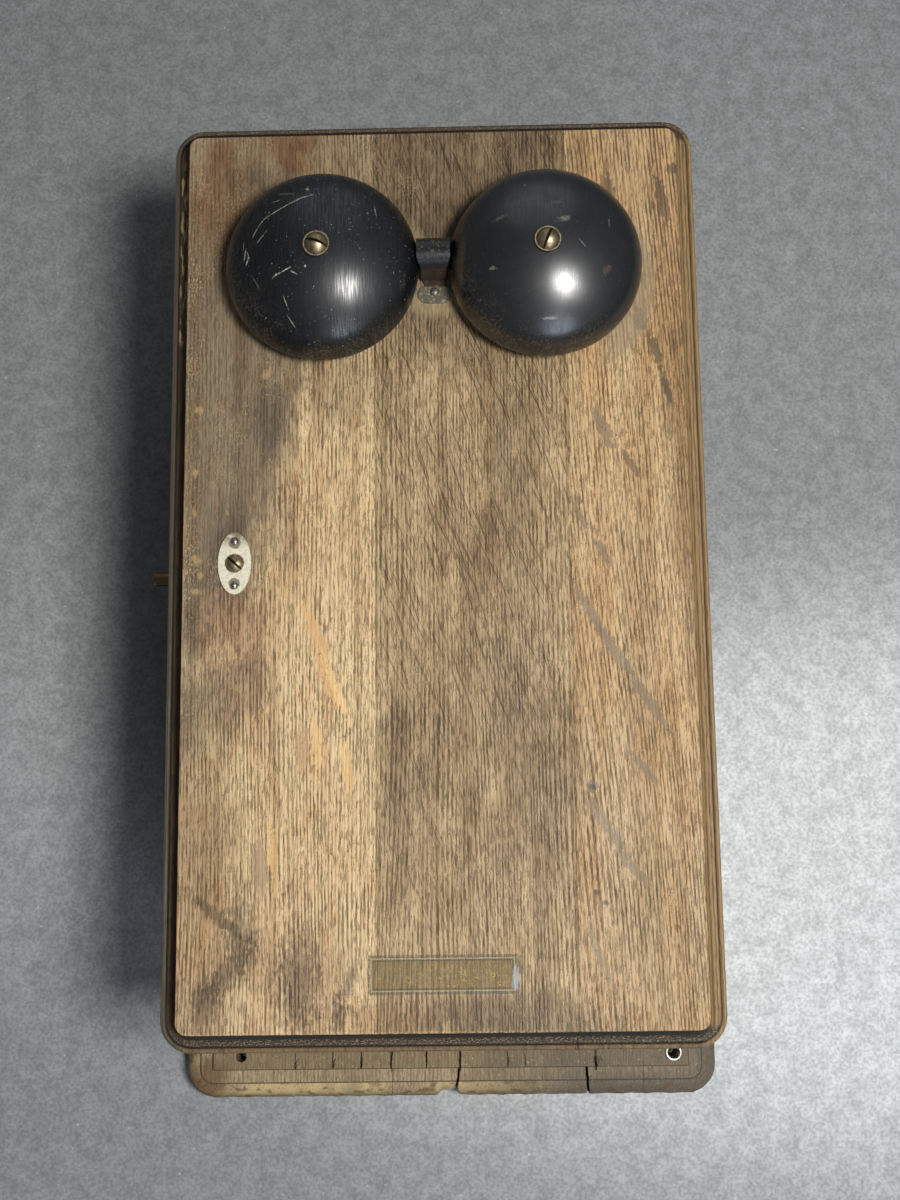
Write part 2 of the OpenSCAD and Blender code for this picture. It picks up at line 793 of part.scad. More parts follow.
// The opening between two of a gear's spokes
module spoke_window(r_in, r_out) {
    inner = asin(spoke_w / 2 / r_in);
    outer = asin(spoke_w / 2 / r_out);
    polygon(concat(
        arc([0, 0], r_out, outer, spoke_pitch - outer, 10),
        arc([0, 0], r_in, spoke_pitch - inner, inner, 6)
    ));
}

// H-shaped iron core with the winding in its two slots
module armature_core() {
    color("#55524e") along_x(-arm_l / 2) linear_extrude(arm_l) translate([crank_y, arm_z]) difference() {
        circle(arm_r);
        circle(arm_shaft_r);
        for (side = [-1, 1]) translate([side * (arm_r / 2 + web_t / 2 + 1), 0])
            square([arm_r + 2, 2 * (arm_r - cheek_t)], center = true);
    }
}

module armature_winding() {
    color("#5c2f1c") along_x(-arm_l / 2 + 2) linear_extrude(arm_l - 4) translate([crank_y, arm_z])
        intersection() {
            circle(arm_r - 1);
            for (side = [-1, 1]) translate([side * (arm_r / 2 + web_t / 2), 0])
                square([arm_r, 2 * (arm_r - cheek_t)], center = true);
        }
}

module armature_shaft() {
    left = -end_x - end_t - boss_t - 2;
    right = gear_x + gear_w + 3.5;
    color("#9a9a98") bar_x(left, crank_y, arm_z, arm_shaft_r, right - left);
}

module armature_pinion() {
    color("#9a9a98") difference() {
        along_x(gear_x - 0.2) linear_extrude(gear_w + 1.5) translate([crank_y, arm_z])
            rotate(90) gear_outline(pinion_teeth);
        bar_x(gear_x - cut, crank_y, arm_z, arm_shaft_r, gear_w + 2 + 2 * cut);
    }
}

// ---------- fittings on the backboard ----------

module induction_heads() {
    color("#7a5a36") for (side = [-1, 1])
        translate([side * (induction_l / 2 - head_t / 2), induction_y, induction_z]) difference() {
            cube([head_t, head_s, head_s], center = true);
            bar_x(-head_t, 0, 0, induction_core_r, 2 * head_t);
        }
}

module induction_winding() {
    l = induction_l - 2 * head_t;
    color("#2c4a35") difference() {
        bar_x(-l / 2, induction_y, induction_z, induction_r, l);
        bar_x(-l / 2 - cut, induction_y, induction_z, induction_core_r, l + 2 * cut);
    }
}

module induction_core() {
    l = induction_l + 4;
    color("#4b4846") bar_x(-l / 2, induction_y, induction_z, induction_core_r, l);
}

module terminal_strip() {
    color("#201c1a") to_front(field_y) linear_extrude(strip_t)
        translate([0, strip_z]) round_rect(strip_l, strip_h, 2);
}

// Sideways place of a terminal, counted from the left
function terminal_x(i) = (i - (terminal_count - 1) / 2) * terminal_pitch;

module terminal_screws() {
    color("#b8934a") for (i = [0 : terminal_count - 1])
        translate([terminal_x(i), field_y - strip_t, strip_z]) rotate([90, 0, 0]) {
            cylinder(r = terminal_r, h = 1);
            translate([0, 0, 1]) round_head(terminal_r - 1, 2.2, 30 * i);
        }
}

module condenser() {
    color("#8d8f8c") to_front(field_y) linear_extrude(can_d)
        translate([can_x, can_z]) round_rect(can_w, can_h, 3);
}

module condenser_strap() {
    half = can_w / 2 + free_fit / 2;
    reach = can_d + free_fit / 2;
    color("#8a8168") translate([can_x, field_y, can_z - strap_w / 2]) linear_extrude(strap_w)
        difference() {
            union() {
                translate([-half - strap_t, -reach - strap_t])
                    square([2 * half + 2 * strap_t, reach + strap_t]);
                translate([-half - strap_ear, -strap_t]) square([2 * half + 2 * strap_ear, strap_t]);
            }
            translate([-half, -reach]) square([2 * half, reach + cut]);
        }
}

// Insulated wires, laid square in the back corners as a wireman lays them
module case_wiring() {
    top = strip_z - strip_h / 2;
    feed = field_y - strip_t - wire_lift;
    start_z = strip_z - terminal_r - 0.3;
    side = inner_w / 2 - wire_lift - 3;
    head_x = induction_l / 2 - head_t / 2;
    block_y = crank_y + contact_drop + contact_d / 2;
    color("#3d3a2c") {
        // from the first two terminals to the generator's contact block
        for (i = [0, 1]) {
            lane = -side + lane_pitch * i;
            z = contact_z + 3 * (2 * i - 1);
            wire([
                [terminal_x(i), feed, start_z],
                [terminal_x(i), feed, top - 7 - lane_pitch * i],
                [lane, feed, top - 7 - lane_pitch * i],
                [lane, feed, z],
                [lane, block_y, z],
                [contact_x - contact_l - 0.3, block_y, z]
            ]);
        }
        // from two of the middle terminals to the induction coil's heads
        for (end = [-1, 1]) {
            x = terminal_x(end < 0 ? 2 : terminal_count - 3);
            z = induction_z + head_s / 2;
            wire([
                [x, feed, start_z],
                [x, feed, z + 9],
                [end * head_x, feed, z + 9],
                [end * head_x, feed, z + 0.3]
            ]);
        }
        // from the last two terminals to the two hinges, the second through the shelf's corner
        for (i = [0, 1]) {
            lane = side - lane_pitch * i;
            z = (i == 0 ? 1 : -1) * (hinge_z - third);
            wire([
                [terminal_x(terminal_count - 1 - i), feed, start_z],
                [terminal_x(terminal_count - 1 - i), feed, top - 7 - lane_pitch * i],
                [lane, feed, top - 7 - lane_pitch * i],
                [lane, feed, z],
                [lane, hinge_y + hinge_screw_x, z],
                [inner_w / 2 - 0.3, hinge_y + hinge_screw_x, z]
            ]);
        }
        // from the condenser up through the shelf's corner to the induction coil's heads
        for (i = [0, 1]) {
            x = can_x + (2 * i - 1) * can_w / 5;
            y = field_y - can_d / 2;
            lane = -side + lane_pitch * (2 + i);
            low = can_z + can_h / 2;
            high = induction_z - head_s / 2 - 9 - lane_pitch * i;
            wire([
                [x, y, low + 0.3],
                [x, y, low + 6 + 3.5 * i],
                [lane, y, low + 6 + 3.5 * i],
                [lane, y, high],
                [(2 * i - 1) * head_x, y, high],
                [(2 * i - 1) * head_x, y, induction_z - head_s / 2 - 0.3]
            ]);
        }
    }
}

// ---------- the door and what it carries ----------

module door_panel() {
    bead_r = bead_w / 2;
    bead_top = door_t - mould_h;
    flat_r = door_r - mould_w;
    arris = 1;
    profile = concat(
        [[0, 0], [door_r, 0]],
        arc([door_r - bead_r, bead_top - bead_r], bead_r, 0, 180, 8),
        [for (i = [1 : 8]) [
            door_r - bead_w - (mould_w - bead_w) * sin(90 * i / 8),
            door_t - arris - (mould_h + bead_r - arris) * cos(90 * i / 8)]],
        [[flat_r, door_t], [0, door_t]]
    );
    color("#7d5c38") difference() {
        to_front(door_y) moulded_slab(door_w, door_h, door_r, door_t, profile);
        for (x = gong_places)
            bar_y(x, door_y + cut, gong_z, post_hole_r, door_t + 2 * cut);
        box([ringer_x - slot_w / 2, face_y - cut, hood_z - slot_h / 2],
            [ringer_x + slot_w / 2, door_y + cut, hood_z + slot_h / 2]);
        box([ringer_x - hood_w / 2 - 0.2, face_y - cut, hood_z + hood_r - hood_t - 0.2],
            [ringer_x + hood_w / 2 + 0.2, face_y + tongue + 0.2, hood_z + hood_r + 0.2]);
        bar_y(latch_x, door_y + cut, 0, latch_r + free_fit, door_t + 2 * cut);
        for (z = [-1, 1]) translate([0, 0, z * hinge_z]) {
            box([hinge_x - leaf_w, door_y - leaf_let, -hinge_h / 2],
                [hinge_x, door_y + cut, hinge_h / 2]);
            translate([hinge_x, hinge_y, -hinge_h / 2 - 2])
                cylinder(r = knuckle_r + free_fit, h = hinge_h + 4);
        }
    }
}

module door_screws() {
    color("#a58a55") {
        for (z = [-1, 1], k = [-1, 0, 1])
            translate([hinge_x - hinge_screw_x, door_y - leaf_let, z * hinge_z + k * third])
            rotate([-90, 0, 0]) flat_head(screw_r, leaf_t);
        for (x = [-1, 1], z = [-1, 1])
            translate([ringer_x + x * plate_screw_x, door_y + plate_t, gong_z + z * (plate_bar_h / 2 - 4)])
            rotate([-90, 0, 0]) flat_head(screw_r + 0.5, screw_h);
    }
}

// Half profile of a gong: a crown arc that runs smoothly into the shoulder's arc, and a short
// straight skirt, all drawn in by the thickness t
function gong_curve(t) = let (
    r = gong_r - t, h = gong_h - t, s = gong_shoulder - t,
    reach = r - s,
    crown = (reach * reach + skirt * skirt - 2 * h * skirt + h * h - s * s) / (2 * (h - skirt - s)),
    low = h - crown, turn = atan2(skirt - low, reach)
) concat([[r, 0]], arc([reach, skirt], s, 0, turn, 10), arc([0, low], crown, turn, 90, 12));

// The left gong is side 0, and the right gong is side 1
module gong(side) {
    translate([gong_places[side], rim_y, gong_z]) rotate([90, 0, 0]) rotate_extrude($fn = 96)
        difference() {
            polygon(concat(gong_curve(0), [[0, 0]]));
            polygon(concat([[gong_r - gong_t, -cut]], gong_curve(gong_t), [[0, -cut]]));
            translate([-cut, 0]) square([cut + 2, gong_h + cut]);
        }
}

module left_gong() {
    color("#16171a") gong(0);
}

module right_gong() {
    color("#16171a") gong(1);
}

// Posts from the ringer's plate to the gongs' crowns, with a threaded end under each screw
module gong_posts() {
    color("#8f7a4a") for (x = gong_places) translate([x, door_y, gong_z]) {
        bar_y(0, 0, 0, post_r, door_y - crown_y - gong_t - 0.6);
        bar_y(0, crown_y + gong_t + 0.7 - door_y, 0, 1.9, gong_t + 0.7);
        bar_y(0, 0, 0, post_hole_r - 0.4, 3);
    }
}

module gong_washers() {
    color("#c8b98e") for (x = gong_places) bar_y(x, crown_y, gong_z, washer_r, washer_t);
}

module gong_screws() {
    color("#b89a5c") for (side = [0, 1])
        translate([gong_places[side], crown_y - washer_t, gong_z]) rotate([90, 0, 0])
            round_head(gong_screw_r, gong_head_h, gong_slots[side]);
}

// Strap bent over the clapper: its upper end sits in the wood, its lower end is a screwed foot
module hood() {
    inner_r = hood_r - hood_t;
    shoulder_z = -hood_r * 0.3;
    waist_z = -hood_r - 1.8;
    steps = 8;
    lobe_r = foot_l * 0.4;
    lobe = [hood_w / 2 - lobe_r, foot_z - hood_z - foot_l * 0.1];
    right_side = concat(
        [[hood_w / 2, hood_r + cut]],
        [for (i = [0 : steps]) [
            neck_w / 2 + (hood_w - neck_w) / 2 * pow(cos(90 * i / steps), 1.2),
            shoulder_z + (waist_z - shoulder_z) * i / steps]],
        arc(lobe, lobe_r, acos((neck_w / 2 - lobe.x) / lobe_r), -90, 10)
    );
    left_side = [for (i = [len(right_side) - 1 : -1 : 0]) [-right_side[i].x, right_side[i].y]];
    color("#17181b") translate([0, 0, hood_z]) difference() {
        intersection() {
            from_side(ringer_x - hood_w / 2 - cut, face_y) linear_extrude(hood_w + 2 * cut) {
                difference() {
                    union() {
                        translate([0, hood_leg]) circle(hood_r);
                        translate([-hood_r, 0]) square([2 * hood_r, hood_leg]);
                        translate([inner_r, -tongue]) square([hood_t, tongue + cut]);
                    }
                    translate([0, hood_leg]) circle(inner_r);
                    translate([-inner_r, -cut]) square([2 * inner_r, hood_leg + cut]);
                }
                translate([-hood_r - foot_l, 0]) square([foot_l + hood_t, hood_t]);
            }
            to_front(face_y + tongue + cut) linear_extrude(hood_h + tongue + 2 * cut)
                translate([ringer_x, 0]) polygon(concat(right_side, left_side));
        }
        bar_y(ringer_x, face_y + cut, foot_z - hood_z, 1.4, hood_t + 2 * cut);
    }
}

module hood_screw() {
    color("#5b5348") translate([ringer_x, face_y - hood_t, foot_z]) rotate([90, 0, 0])
        round_head(1.9, 1.2, 40);
}

// Oval plate on the door's face, with the latch screw through it
module latch_plate() {
    steps = 48;
    color("#cfc8b0") difference() {
        to_front(face_y) linear_extrude(oval_t) translate([latch_x, 0])
            polygon([for (a = [0 : 360 / steps : 359]) [oval_w / 2 * cos(a), oval_h / 2 * sin(a)]]);
        bar_y(latch_x, face_y + cut, 0, latch_r + free_fit / 2, oval_t + 2 * cut);
    }
}

module latch_plate_pins() {
    color("#b9b29c") for (z = [-1, 1]) translate([latch_x, face_y - oval_t, z * latch_pin_drop])
        rotate([90, 0, 0]) round_head(1.7, 1.1, 90);
}

module latch_screw() {
    head_y = face_y - oval_t - 0.1;
    color("#b0935a") {
        translate([latch_x, head_y, 0]) rotate([90, 0, 0])
            round_head(latch_head_r, latch_head_h, latch_slot);
        bar_y(latch_x, cam_y + cam_t + 1, 0, latch_r, cam_y + cam_t + 1 - head_y);
    }
}

// Cam on the latch screw's inner end: it hangs down when the door is free to open
module latch_cam() {
    color("#a8874a") difference() {
        to_front(cam_y + cam_t) linear_extrude(cam_t) translate([latch_x, 0]) {
            circle(cam_w / 2 + 1);
            translate([-cam_w / 2, -cam_reach]) square([cam_w, cam_reach]);
        }
        bar_y(latch_x, cam_y + cam_t + cut, 0, latch_r, cam_t + 2 * cut);
    }
}

// ---------- ringer ----------

module ringer_plate() {
    color("#4f4d4a") difference() {
        to_front(door_y + plate_t) linear_extrude(plate_t) translate([ringer_x, 0]) {
            translate([0, gong_z]) round_rect(gong_spacing + 24, plate_bar_h, 8);
            translate([-stem_w / 2, bar_z - 14]) square([stem_w, gong_z - bar_z + 14]);
        }
        box([ringer_x - slot_w / 2, door_y - cut, hood_z - slot_h / 2],
            [ringer_x + slot_w / 2, door_y + plate_t + cut, hood_z + slot_h / 2]);
        for (x = gong_places)
            bar_y(x, door_y + plate_t + cut, gong_z, post_r - 1, plate_t + 2 * cut);
    }
}

module ringer_yoke() {
    half = coil_spacing / 2 + core_r + 4;
    color("#4a4a4a") difference() {
        box([ringer_x - half, door_y + plate_t, yoke_z], [ringer_x + half, yoke_back, yoke_z + yoke_t]);
        box([ringer_x - 4, coil_y - 6, yoke_z - cut], [ringer_x + 4, coil_y + 4, yoke_z + yoke_t + cut]);
    }
}

module ringer_cores() {
    color("#7b7b78") for (side = [-1, 1]) translate([ringer_x + side * coil_spacing / 2, coil_y, core_tip_z])
        cylinder(r = core_r, h = yoke_z - core_tip_z);
}

// Wound spools with a fibre cheek at each end
module ringer_coils() {
    cheek = 1.5;
    color("#5a2320") for (side = [-1, 1])
        translate([ringer_x + side * coil_spacing / 2, coil_y, yoke_z - coil_l]) difference() {
            union() {
                cylinder(r = coil_r - 1, h = coil_l);
                cylinder(r = coil_r, h = cheek);
                translate([0, 0, coil_l - cheek]) cylinder(r = coil_r, h = cheek);
            }
            translate([0, 0, -cut]) cylinder(r = core_r, h = coil_l + 2 * cut);
        }
}

// Bar magnet behind the coils, from the yoke down to the armature's pivot
module ringer_magnet() {
    low = bar_z - 4;
    foot_y = coil_y + ear_y + ear_t + 0.5;
    color("#2f2f31") translate([ringer_x, 0, 0]) {
        box([-ringer_magnet_w / 2, yoke_back, low],
            [ringer_magnet_w / 2, yoke_back + ringer_magnet_t, yoke_z + yoke_t]);
        box([-ringer_magnet_w / 2, foot_y, low], [ringer_magnet_w / 2, yoke_back, low + 6]);
    }
}

// Brass bracket whose two ears carry the armature's pivot
module armature_bracket() {
    base_z = bar_z - 10;
    ear_top = pivot_z + 3.5;
    color("#a8874a") translate([ringer_x, 0, 0]) difference() {
        union() {
            box([-bracket_w / 2, door_y + plate_t, base_z],
                [bracket_w / 2, coil_y + ear_y + ear_t, base_z + 3]);
            for (y = [-ear_y - ear_t, ear_y])
                box([-bracket_w / 2, coil_y + y, base_z], [bracket_w / 2, coil_y + y + ear_t, ear_top]);
        }
        bar_y(0, coil_y + ear_y + ear_t + cut, pivot_z, pivot_r + run_fit, 2 * (ear_y + ear_t + cut));
    }
}

module pivot_pin() {
    color("#9a9a98") bar_y(ringer_x, coil_y + ear_y + ear_t, pivot_z, pivot_r, 2 * (ear_y + ear_t));
}

module ringer_armature() {
    color("#4a4a4a") translate([ringer_x, coil_y, 0]) difference() {
        union() {
            box([-bar_w / 2, -bar_d / 2, bar_z], [bar_w / 2, bar_d / 2, bar_z + bar_h]);
            bar_y(0, bar_d / 2, pivot_z, pivot_r + 1.8, bar_d);
        }
        bar_y(0, bar_d / 2 + cut, pivot_z, pivot_r + run_fit, bar_d + 2 * cut);
    }
}

module clapper_rod() {
    base_z = pivot_z + pivot_r + 1.8;
    color("#8f8b80") wire([
        [ringer_x, coil_y, base_z],
        [ringer_x, coil_y, hood_z - 1],
        [ringer_x, ball_y + ball_r - 0.6, hood_z - 1]
    ], rod_r, 3);
}

module clapper_ball() {
    color("#8a7440") translate([ringer_x, ball_y, hood_z - 1]) difference() {
        sphere(r = ball_r);
        bar_y(0, ball_r + cut, 0, rod_r, cut + 0.6);
    }
}

// Wires from the ringer's coils to the two hinges, stapled to the door's back
module door_wiring() {
    y = door_y + wire_lift;
    out_x = hinge_x - leaf_w - 4;
    color("#3d3a2c") for (i = [0, 1]) {
        x = ringer_x + coil_spacing / 2 + coil_r + 3 + 5 * i;
        z = yoke_z - coil_l - 4 - 4 * i;
        start_z = yoke_z - coil_l + 6;
        wire([
            [ringer_x + coil_spacing / 2 + coil_r + 0.3, coil_y, start_z + 6 * i],
            [x, coil_y, start_z + 6 * i],
            [x, coil_y, z],
            [x, y, z],
            [out_x, y, z],
            [out_x, y, (i == 0 ? 1 : -1) * hinge_z + (i == 0 ? -1 : 1) * hinge_h / 2]
        ]);
    }
}

backboard();
left_wall();
right_wall();
top_wall();
bottom_wall();
generator_shelf();
wall_screw_ferrule();
case_hinge_leaves();
hinge_pins();
case_screws();
latch_keeper();
shaft_bushing();
bed_plate();
generator_screws();
pole_pieces();
magnets();
left_end_plate();
right_end_plate();
magnet_clamps();
contact_block();
contact_springs();
induction_heads();
induction_winding();
induction_core();
terminal_strip();
terminal_screws();
condenser();
condenser_strap();
case_wiring();
door_panel();
door_hinge_leaves();
door_screws();
left_gong();
right_gong();
gong_posts();
gong_washers();
gong_screws();
hood();
hood_screw();
latch_plate();
latch_plate_pins();
ringer_plate();
ringer_yoke();
ringer_cores();
ringer_coils();
ringer_magnet();
armature_bracket();
pivot_pin();
door_wiring();
ringer_armature();
clapper_rod();
clapper_ball();
latch_screw();
latch_cam();
crank_shaft();
drive_gear();
armature_core();
armature_winding();
armature_shaft();
armature_pinion();
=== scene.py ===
import bmesh
import bpy
import numpy as np
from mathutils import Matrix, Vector


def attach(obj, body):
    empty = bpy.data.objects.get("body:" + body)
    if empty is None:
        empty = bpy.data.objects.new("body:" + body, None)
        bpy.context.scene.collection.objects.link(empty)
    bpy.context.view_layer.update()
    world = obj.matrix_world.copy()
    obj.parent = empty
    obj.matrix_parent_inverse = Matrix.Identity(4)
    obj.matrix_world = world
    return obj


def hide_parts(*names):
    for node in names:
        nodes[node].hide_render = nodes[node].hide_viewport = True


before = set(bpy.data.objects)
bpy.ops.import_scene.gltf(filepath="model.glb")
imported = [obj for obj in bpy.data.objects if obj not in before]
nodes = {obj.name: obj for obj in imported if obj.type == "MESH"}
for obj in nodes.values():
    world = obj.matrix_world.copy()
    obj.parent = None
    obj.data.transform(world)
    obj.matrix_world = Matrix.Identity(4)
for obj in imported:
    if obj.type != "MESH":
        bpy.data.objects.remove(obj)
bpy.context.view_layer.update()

# ---------- camera ----------
# The box lies on its back, and the camera looks down on its door from a little past its lower end.
view = bpy.data.cameras.new("camera")
view.lens, view.sensor_width = 44.1, 36.0
view.clip_start, view.clip_end = 0.05, 20.0


def put(name, data):
    """A new object of the scene, at the origin."""
    piece = bpy.data.objects.new(name, data)
    bpy.context.scene.collection.objects.link(piece)
    return piece


camera = put("camera", view)
camera.location = (0.01484, -0.70858, -0.10832)
camera.rotation_euler = np.radians((99.396, 0.741, 1.139))
bpy.context.scene.camera = camera

# ---------- backboard ----------
# One wide oak board with a field, a flat band and a rounded edge worked all round it. It is
# matt and greyed, and its lower end has dried out and split along the grain.


def shade(code):
    """The linear colour of a six-figure screen colour."""
    part = np.array([int(code[i:i + 2], 16) for i in (0, 2, 4)]) / 255
    return (*np.where(part <= 0.04045, part / 12.92, ((part + 0.055) / 1.055) ** 2.4), 1.0)


class Field:
    """A number that varies over a surface. Arithmetic on it adds the nodes that work it out."""

    def __init__(self, tree, socket):
        self.tree, self.socket = tree, socket

    def work(self, sum_kind, *others):
        node = self.tree.nodes.new("ShaderNodeMath")
        node.operation = sum_kind
        for slot, value in zip(node.inputs, (self, *others)):
            if isinstance(value, Field):
                self.tree.links.new(value.socket, slot)
            else:
                slot.default_value = value
        return Field(self.tree, node.outputs[0])

    def __add__(self, other):
        return self.work("ADD", other)

    def __sub__(self, other):
        return self.work("SUBTRACT", other)

    def __mul__(self, other):
        return self.work("MULTIPLY", other)

    def larger(self, other):
        return self.work("MAXIMUM", other)

    def smaller(self, other):
        return self.work("MINIMUM", other)

    def size(self):
        return self.work("ABSOLUTE")

    def reach(self, other):
        """The distance from a middle, from how far off it is along two axes."""
        return (self * self + other * other).work("SQRT")

    def wave(self, length, shift=0.0):
        """A sine wave of this length, from 0 to 1."""
        return (self * (2 * np.pi / length) + shift).work("SINE") * 0.5 + 0.5

    def slope(self, low, high, start, end):
        """The start value below low, the end value above high, and a smooth change between."""
        node = self.tree.nodes.new("ShaderNodeMapRange")
        node.interpolation_type = "SMOOTHSTEP"
        self.tree.links.new(self.socket, node.inputs[0])
        for slot, value in zip(list(node.inputs)[1:5], (low, high, start, end)):
            slot.default_value = value
        return Field(self.tree, node.outputs[0])

    def rise(self, low, high):
        return self.slope(low, high, 0.0, 1.0)

    def fall(self, low, high):
        return self.slope(low, high, 1.0, 0.0)

    def within(self, low, high, soft):
        """1 between low and high, with a smooth edge of this width outside each."""
        return self.rise(low - soft, low) * self.fall(high, high + soft)


class Finish:
    """A finish built up in coats over a bare surface. Places and sizes are in millimetres."""

    def __init__(self, name, bare, rough, metal=0.0, specular=0.5):
        self.material = bpy.data.materials.new(name)
        self.material.use_nodes = True
        self.tree = self.material.node_tree
        self.shader = self.tree.nodes["Principled BSDF"]
        self.shader.inputs["Metallic"].default_value = metal
        self.shader.inputs["Specular IOR Level"].default_value = specular
        self.shader.inputs["Base Color"].default_value = shade(bare)
        self.shader.inputs["Roughness"].default_value = rough
        self.bare, self.colour, self.rough, self.relief = shade(bare), None, rough, None
        self.place = self.tree.nodes.new("ShaderNodeTexCoord").outputs["Object"]
        apart = self.tree.nodes.new("ShaderNodeSeparateXYZ")
        self.tree.links.new(self.place, apart.inputs[0])
        self.x, self.y, self.z = (Field(self.tree, out) * 1000 for out in apart.outputs)

    def moved(self, centre, size, turn):
        """The place measured from a centre, turned clockwise about Y, in parts of a size."""
        node = self.tree.nodes.new("ShaderNodeMapping")
        node.vector_type = "TEXTURE"
        self.tree.links.new(self.place, node.inputs[0])
        node.inputs[1].default_value = np.array(centre) / 1000
        node.inputs[2].default_value = (0.0, np.radians(turn), 0.0)
        node.inputs[3].default_value = np.broadcast_to(size, 3) / 1000
        return node.outputs[0]

    def noise(self, size, detail=2.0, turn=0.0, seed=0.0, warp=0.0):
        """Uneven patches of a size, or of one each along X, Y and Z, from 0 to 1 and about 0.5 on
        average."""
        place = self.moved(np.array((seed * 37.0, seed * 53.0, seed * 71.0)), size, turn)
        node = self.tree.nodes.new("ShaderNodeTexNoise")
        self.tree.links.new(place, node.inputs["Vector"])
        node.inputs["Scale"].default_value = 1.0
        node.inputs["Detail"].default_value = detail
        node.inputs["Distortion"].default_value = warp
        return Field(self.tree, node.outputs[0])

    def spot(self, x, z, wide, high, turn=0.0, soft=0.2, ragged=None):
        """An oval patch seen from the front: 1 inside, 0 outside, and its edge may be ragged."""
        place = self.moved((x, 0, z), (wide, 1e6, high), turn)
        node = self.tree.nodes.new("ShaderNodeTexGradient")
        node.gradient_type = "SPHERICAL"
        self.tree.links.new(place, node.inputs[0])
        far = Field(self.tree, node.outputs["Fac"]) * -2 + 2
        if ragged is not None:
            far = far + ragged
        return far.fall(1 - soft, 1 + soft)

    def edge(self, wide, high, corner):
        """How far in a place lies from the outline of a rounded rectangle seen from the front."""
        across = self.x.size() - (wide / 2 - corner)
        along = self.z.size() - (high / 2 - corner)
        a, b = across.larger(0.0), along.larger(0.0)
        far = a.reach(b) + across.larger(along).smaller(0.0)
        return far * -1 + corner

    def coat(self, cover, code, much=1.0):
        """Lays a colour over what is there, as far as the cover says."""
        part = cover * much if much != 1.0 else cover
        node = self.tree.nodes.new("ShaderNodeMix")
        node.data_type = "RGBA"
        self.tree.links.new(part.socket, node.inputs[0])
        if self.colour is None:
            node.inputs[6].default_value = self.bare
        else:
            self.tree.links.new(self.colour, node.inputs[6])
        node.inputs[7].default_value = shade(code)
        self.colour = node.outputs[2]

    def dapple(self, size, detail, low, high, code, much, seed=0.0):
        """Lays a colour in uneven patches, where the noise passes from low to high."""
        self.coat(self.noise(size, detail, seed=seed).rise(low, high), code, much)

    def stain(self, cover, code, much=1.0):
        """Darkens what is there by a colour, as far as the cover says, and keeps its pattern."""
        self.coat(cover, code, much)
        self.colour.node.blend_type = "MULTIPLY"

    def polish(self, cover, rough):
        """Moves the roughness towards a value, as far as the cover says."""
        if not isinstance(self.rough, Field):
            self.rough = cover * (rough - self.rough) + self.rough
        else:
            self.rough = self.rough + cover * (self.rough * -1 + rough)

    def scuff(self, size, low, high, rough, **noise):
        """Moves the roughness in uneven patches."""
        self.polish(self.noise(size, **noise).rise(low, high), rough)

    def lift(self, field, height):
        """Raises the surface by a height where the field is 1, or sinks it if that is negative."""
        step = field * height
        self.relief = step if self.relief is None else self.relief + step

    def lay_on(self, *names):
        """Joins the coats to the shader and gives the finish to CAD nodes or to new pieces."""
        if self.colour is not None:
            self.tree.links.new(self.colour, self.shader.inputs["Base Color"])
        if isinstance(self.rough, Field):
            self.tree.links.new(self.rough.socket, self.shader.inputs["Roughness"])
        if self.relief is not None:
            bump = self.tree.nodes.new("ShaderNodeBump")
            bump.inputs["Distance"].default_value = 0.001
            self.tree.links.new(self.relief.socket, bump.inputs["Height"])
            self.tree.links.new(bump.outputs[0], self.shader.inputs["Normal"])
        for name in names:
            piece = nodes.get(name) or bpy.data.objects[name]
            if not piece.material_slots:
                piece.data.materials.append(self.material)
            for slot in piece.material_slots:
                slot.material = self.material


def figure(wood, along, lean=0.0, pitch=1.5, seed=0.0, thin=0.0):
    """An oak board's streaks, growth lines and open pores, each from 0 to 1. The streaks and pores
    are noises drawn out along the grain. The lines are a wave across it, bent by a slow noise and
    broken by a fine one. The thin value leaves narrower lines."""
    def drawn(across, length):
        return [length if axis == along else across for axis in "xyz"]
    across = (wood.x + wood.z * lean if along == "z" else wood.z) + wood.y
    bend = wood.noise(drawn(30, 300), detail=1, seed=seed + 1)
    ripple = wood.noise(drawn(1.8, 12), detail=2, seed=seed + 2)
    lines = (((across + bend * 16 + ripple * 0.7).wave(pitch) - thin).rise(0.2, 0.75)
             * wood.noise(drawn(1.1, 14), detail=4, seed=seed + 5).slope(0.38, 0.56, 0.15, 1.0))
    pores = wood.noise(drawn(0.42, 3.4), detail=2, seed=seed + 3).rise(0.5, 0.63)
    streaks = wood.noise(drawn(4, 160), detail=4, seed=seed + 4).rise(0.42, 0.66)
    return streaks, lines, pores


def oak(wood, along, pitch, lines, pores, seed):
    """Lays an oak board's figure on a finish, with the pores sunk a little."""
    streak_cover, line_cover, pore_cover = figure(wood, along, 0.0, pitch, seed)
    wood.coat(streak_cover, lines, 0.4)
    wood.coat(line_cover, lines, 0.75)
    wood.coat(pore_cover, pores, 0.5)
    wood.lift(line_cover + pore_cover, -0.06)
    return streak_cover, line_cover


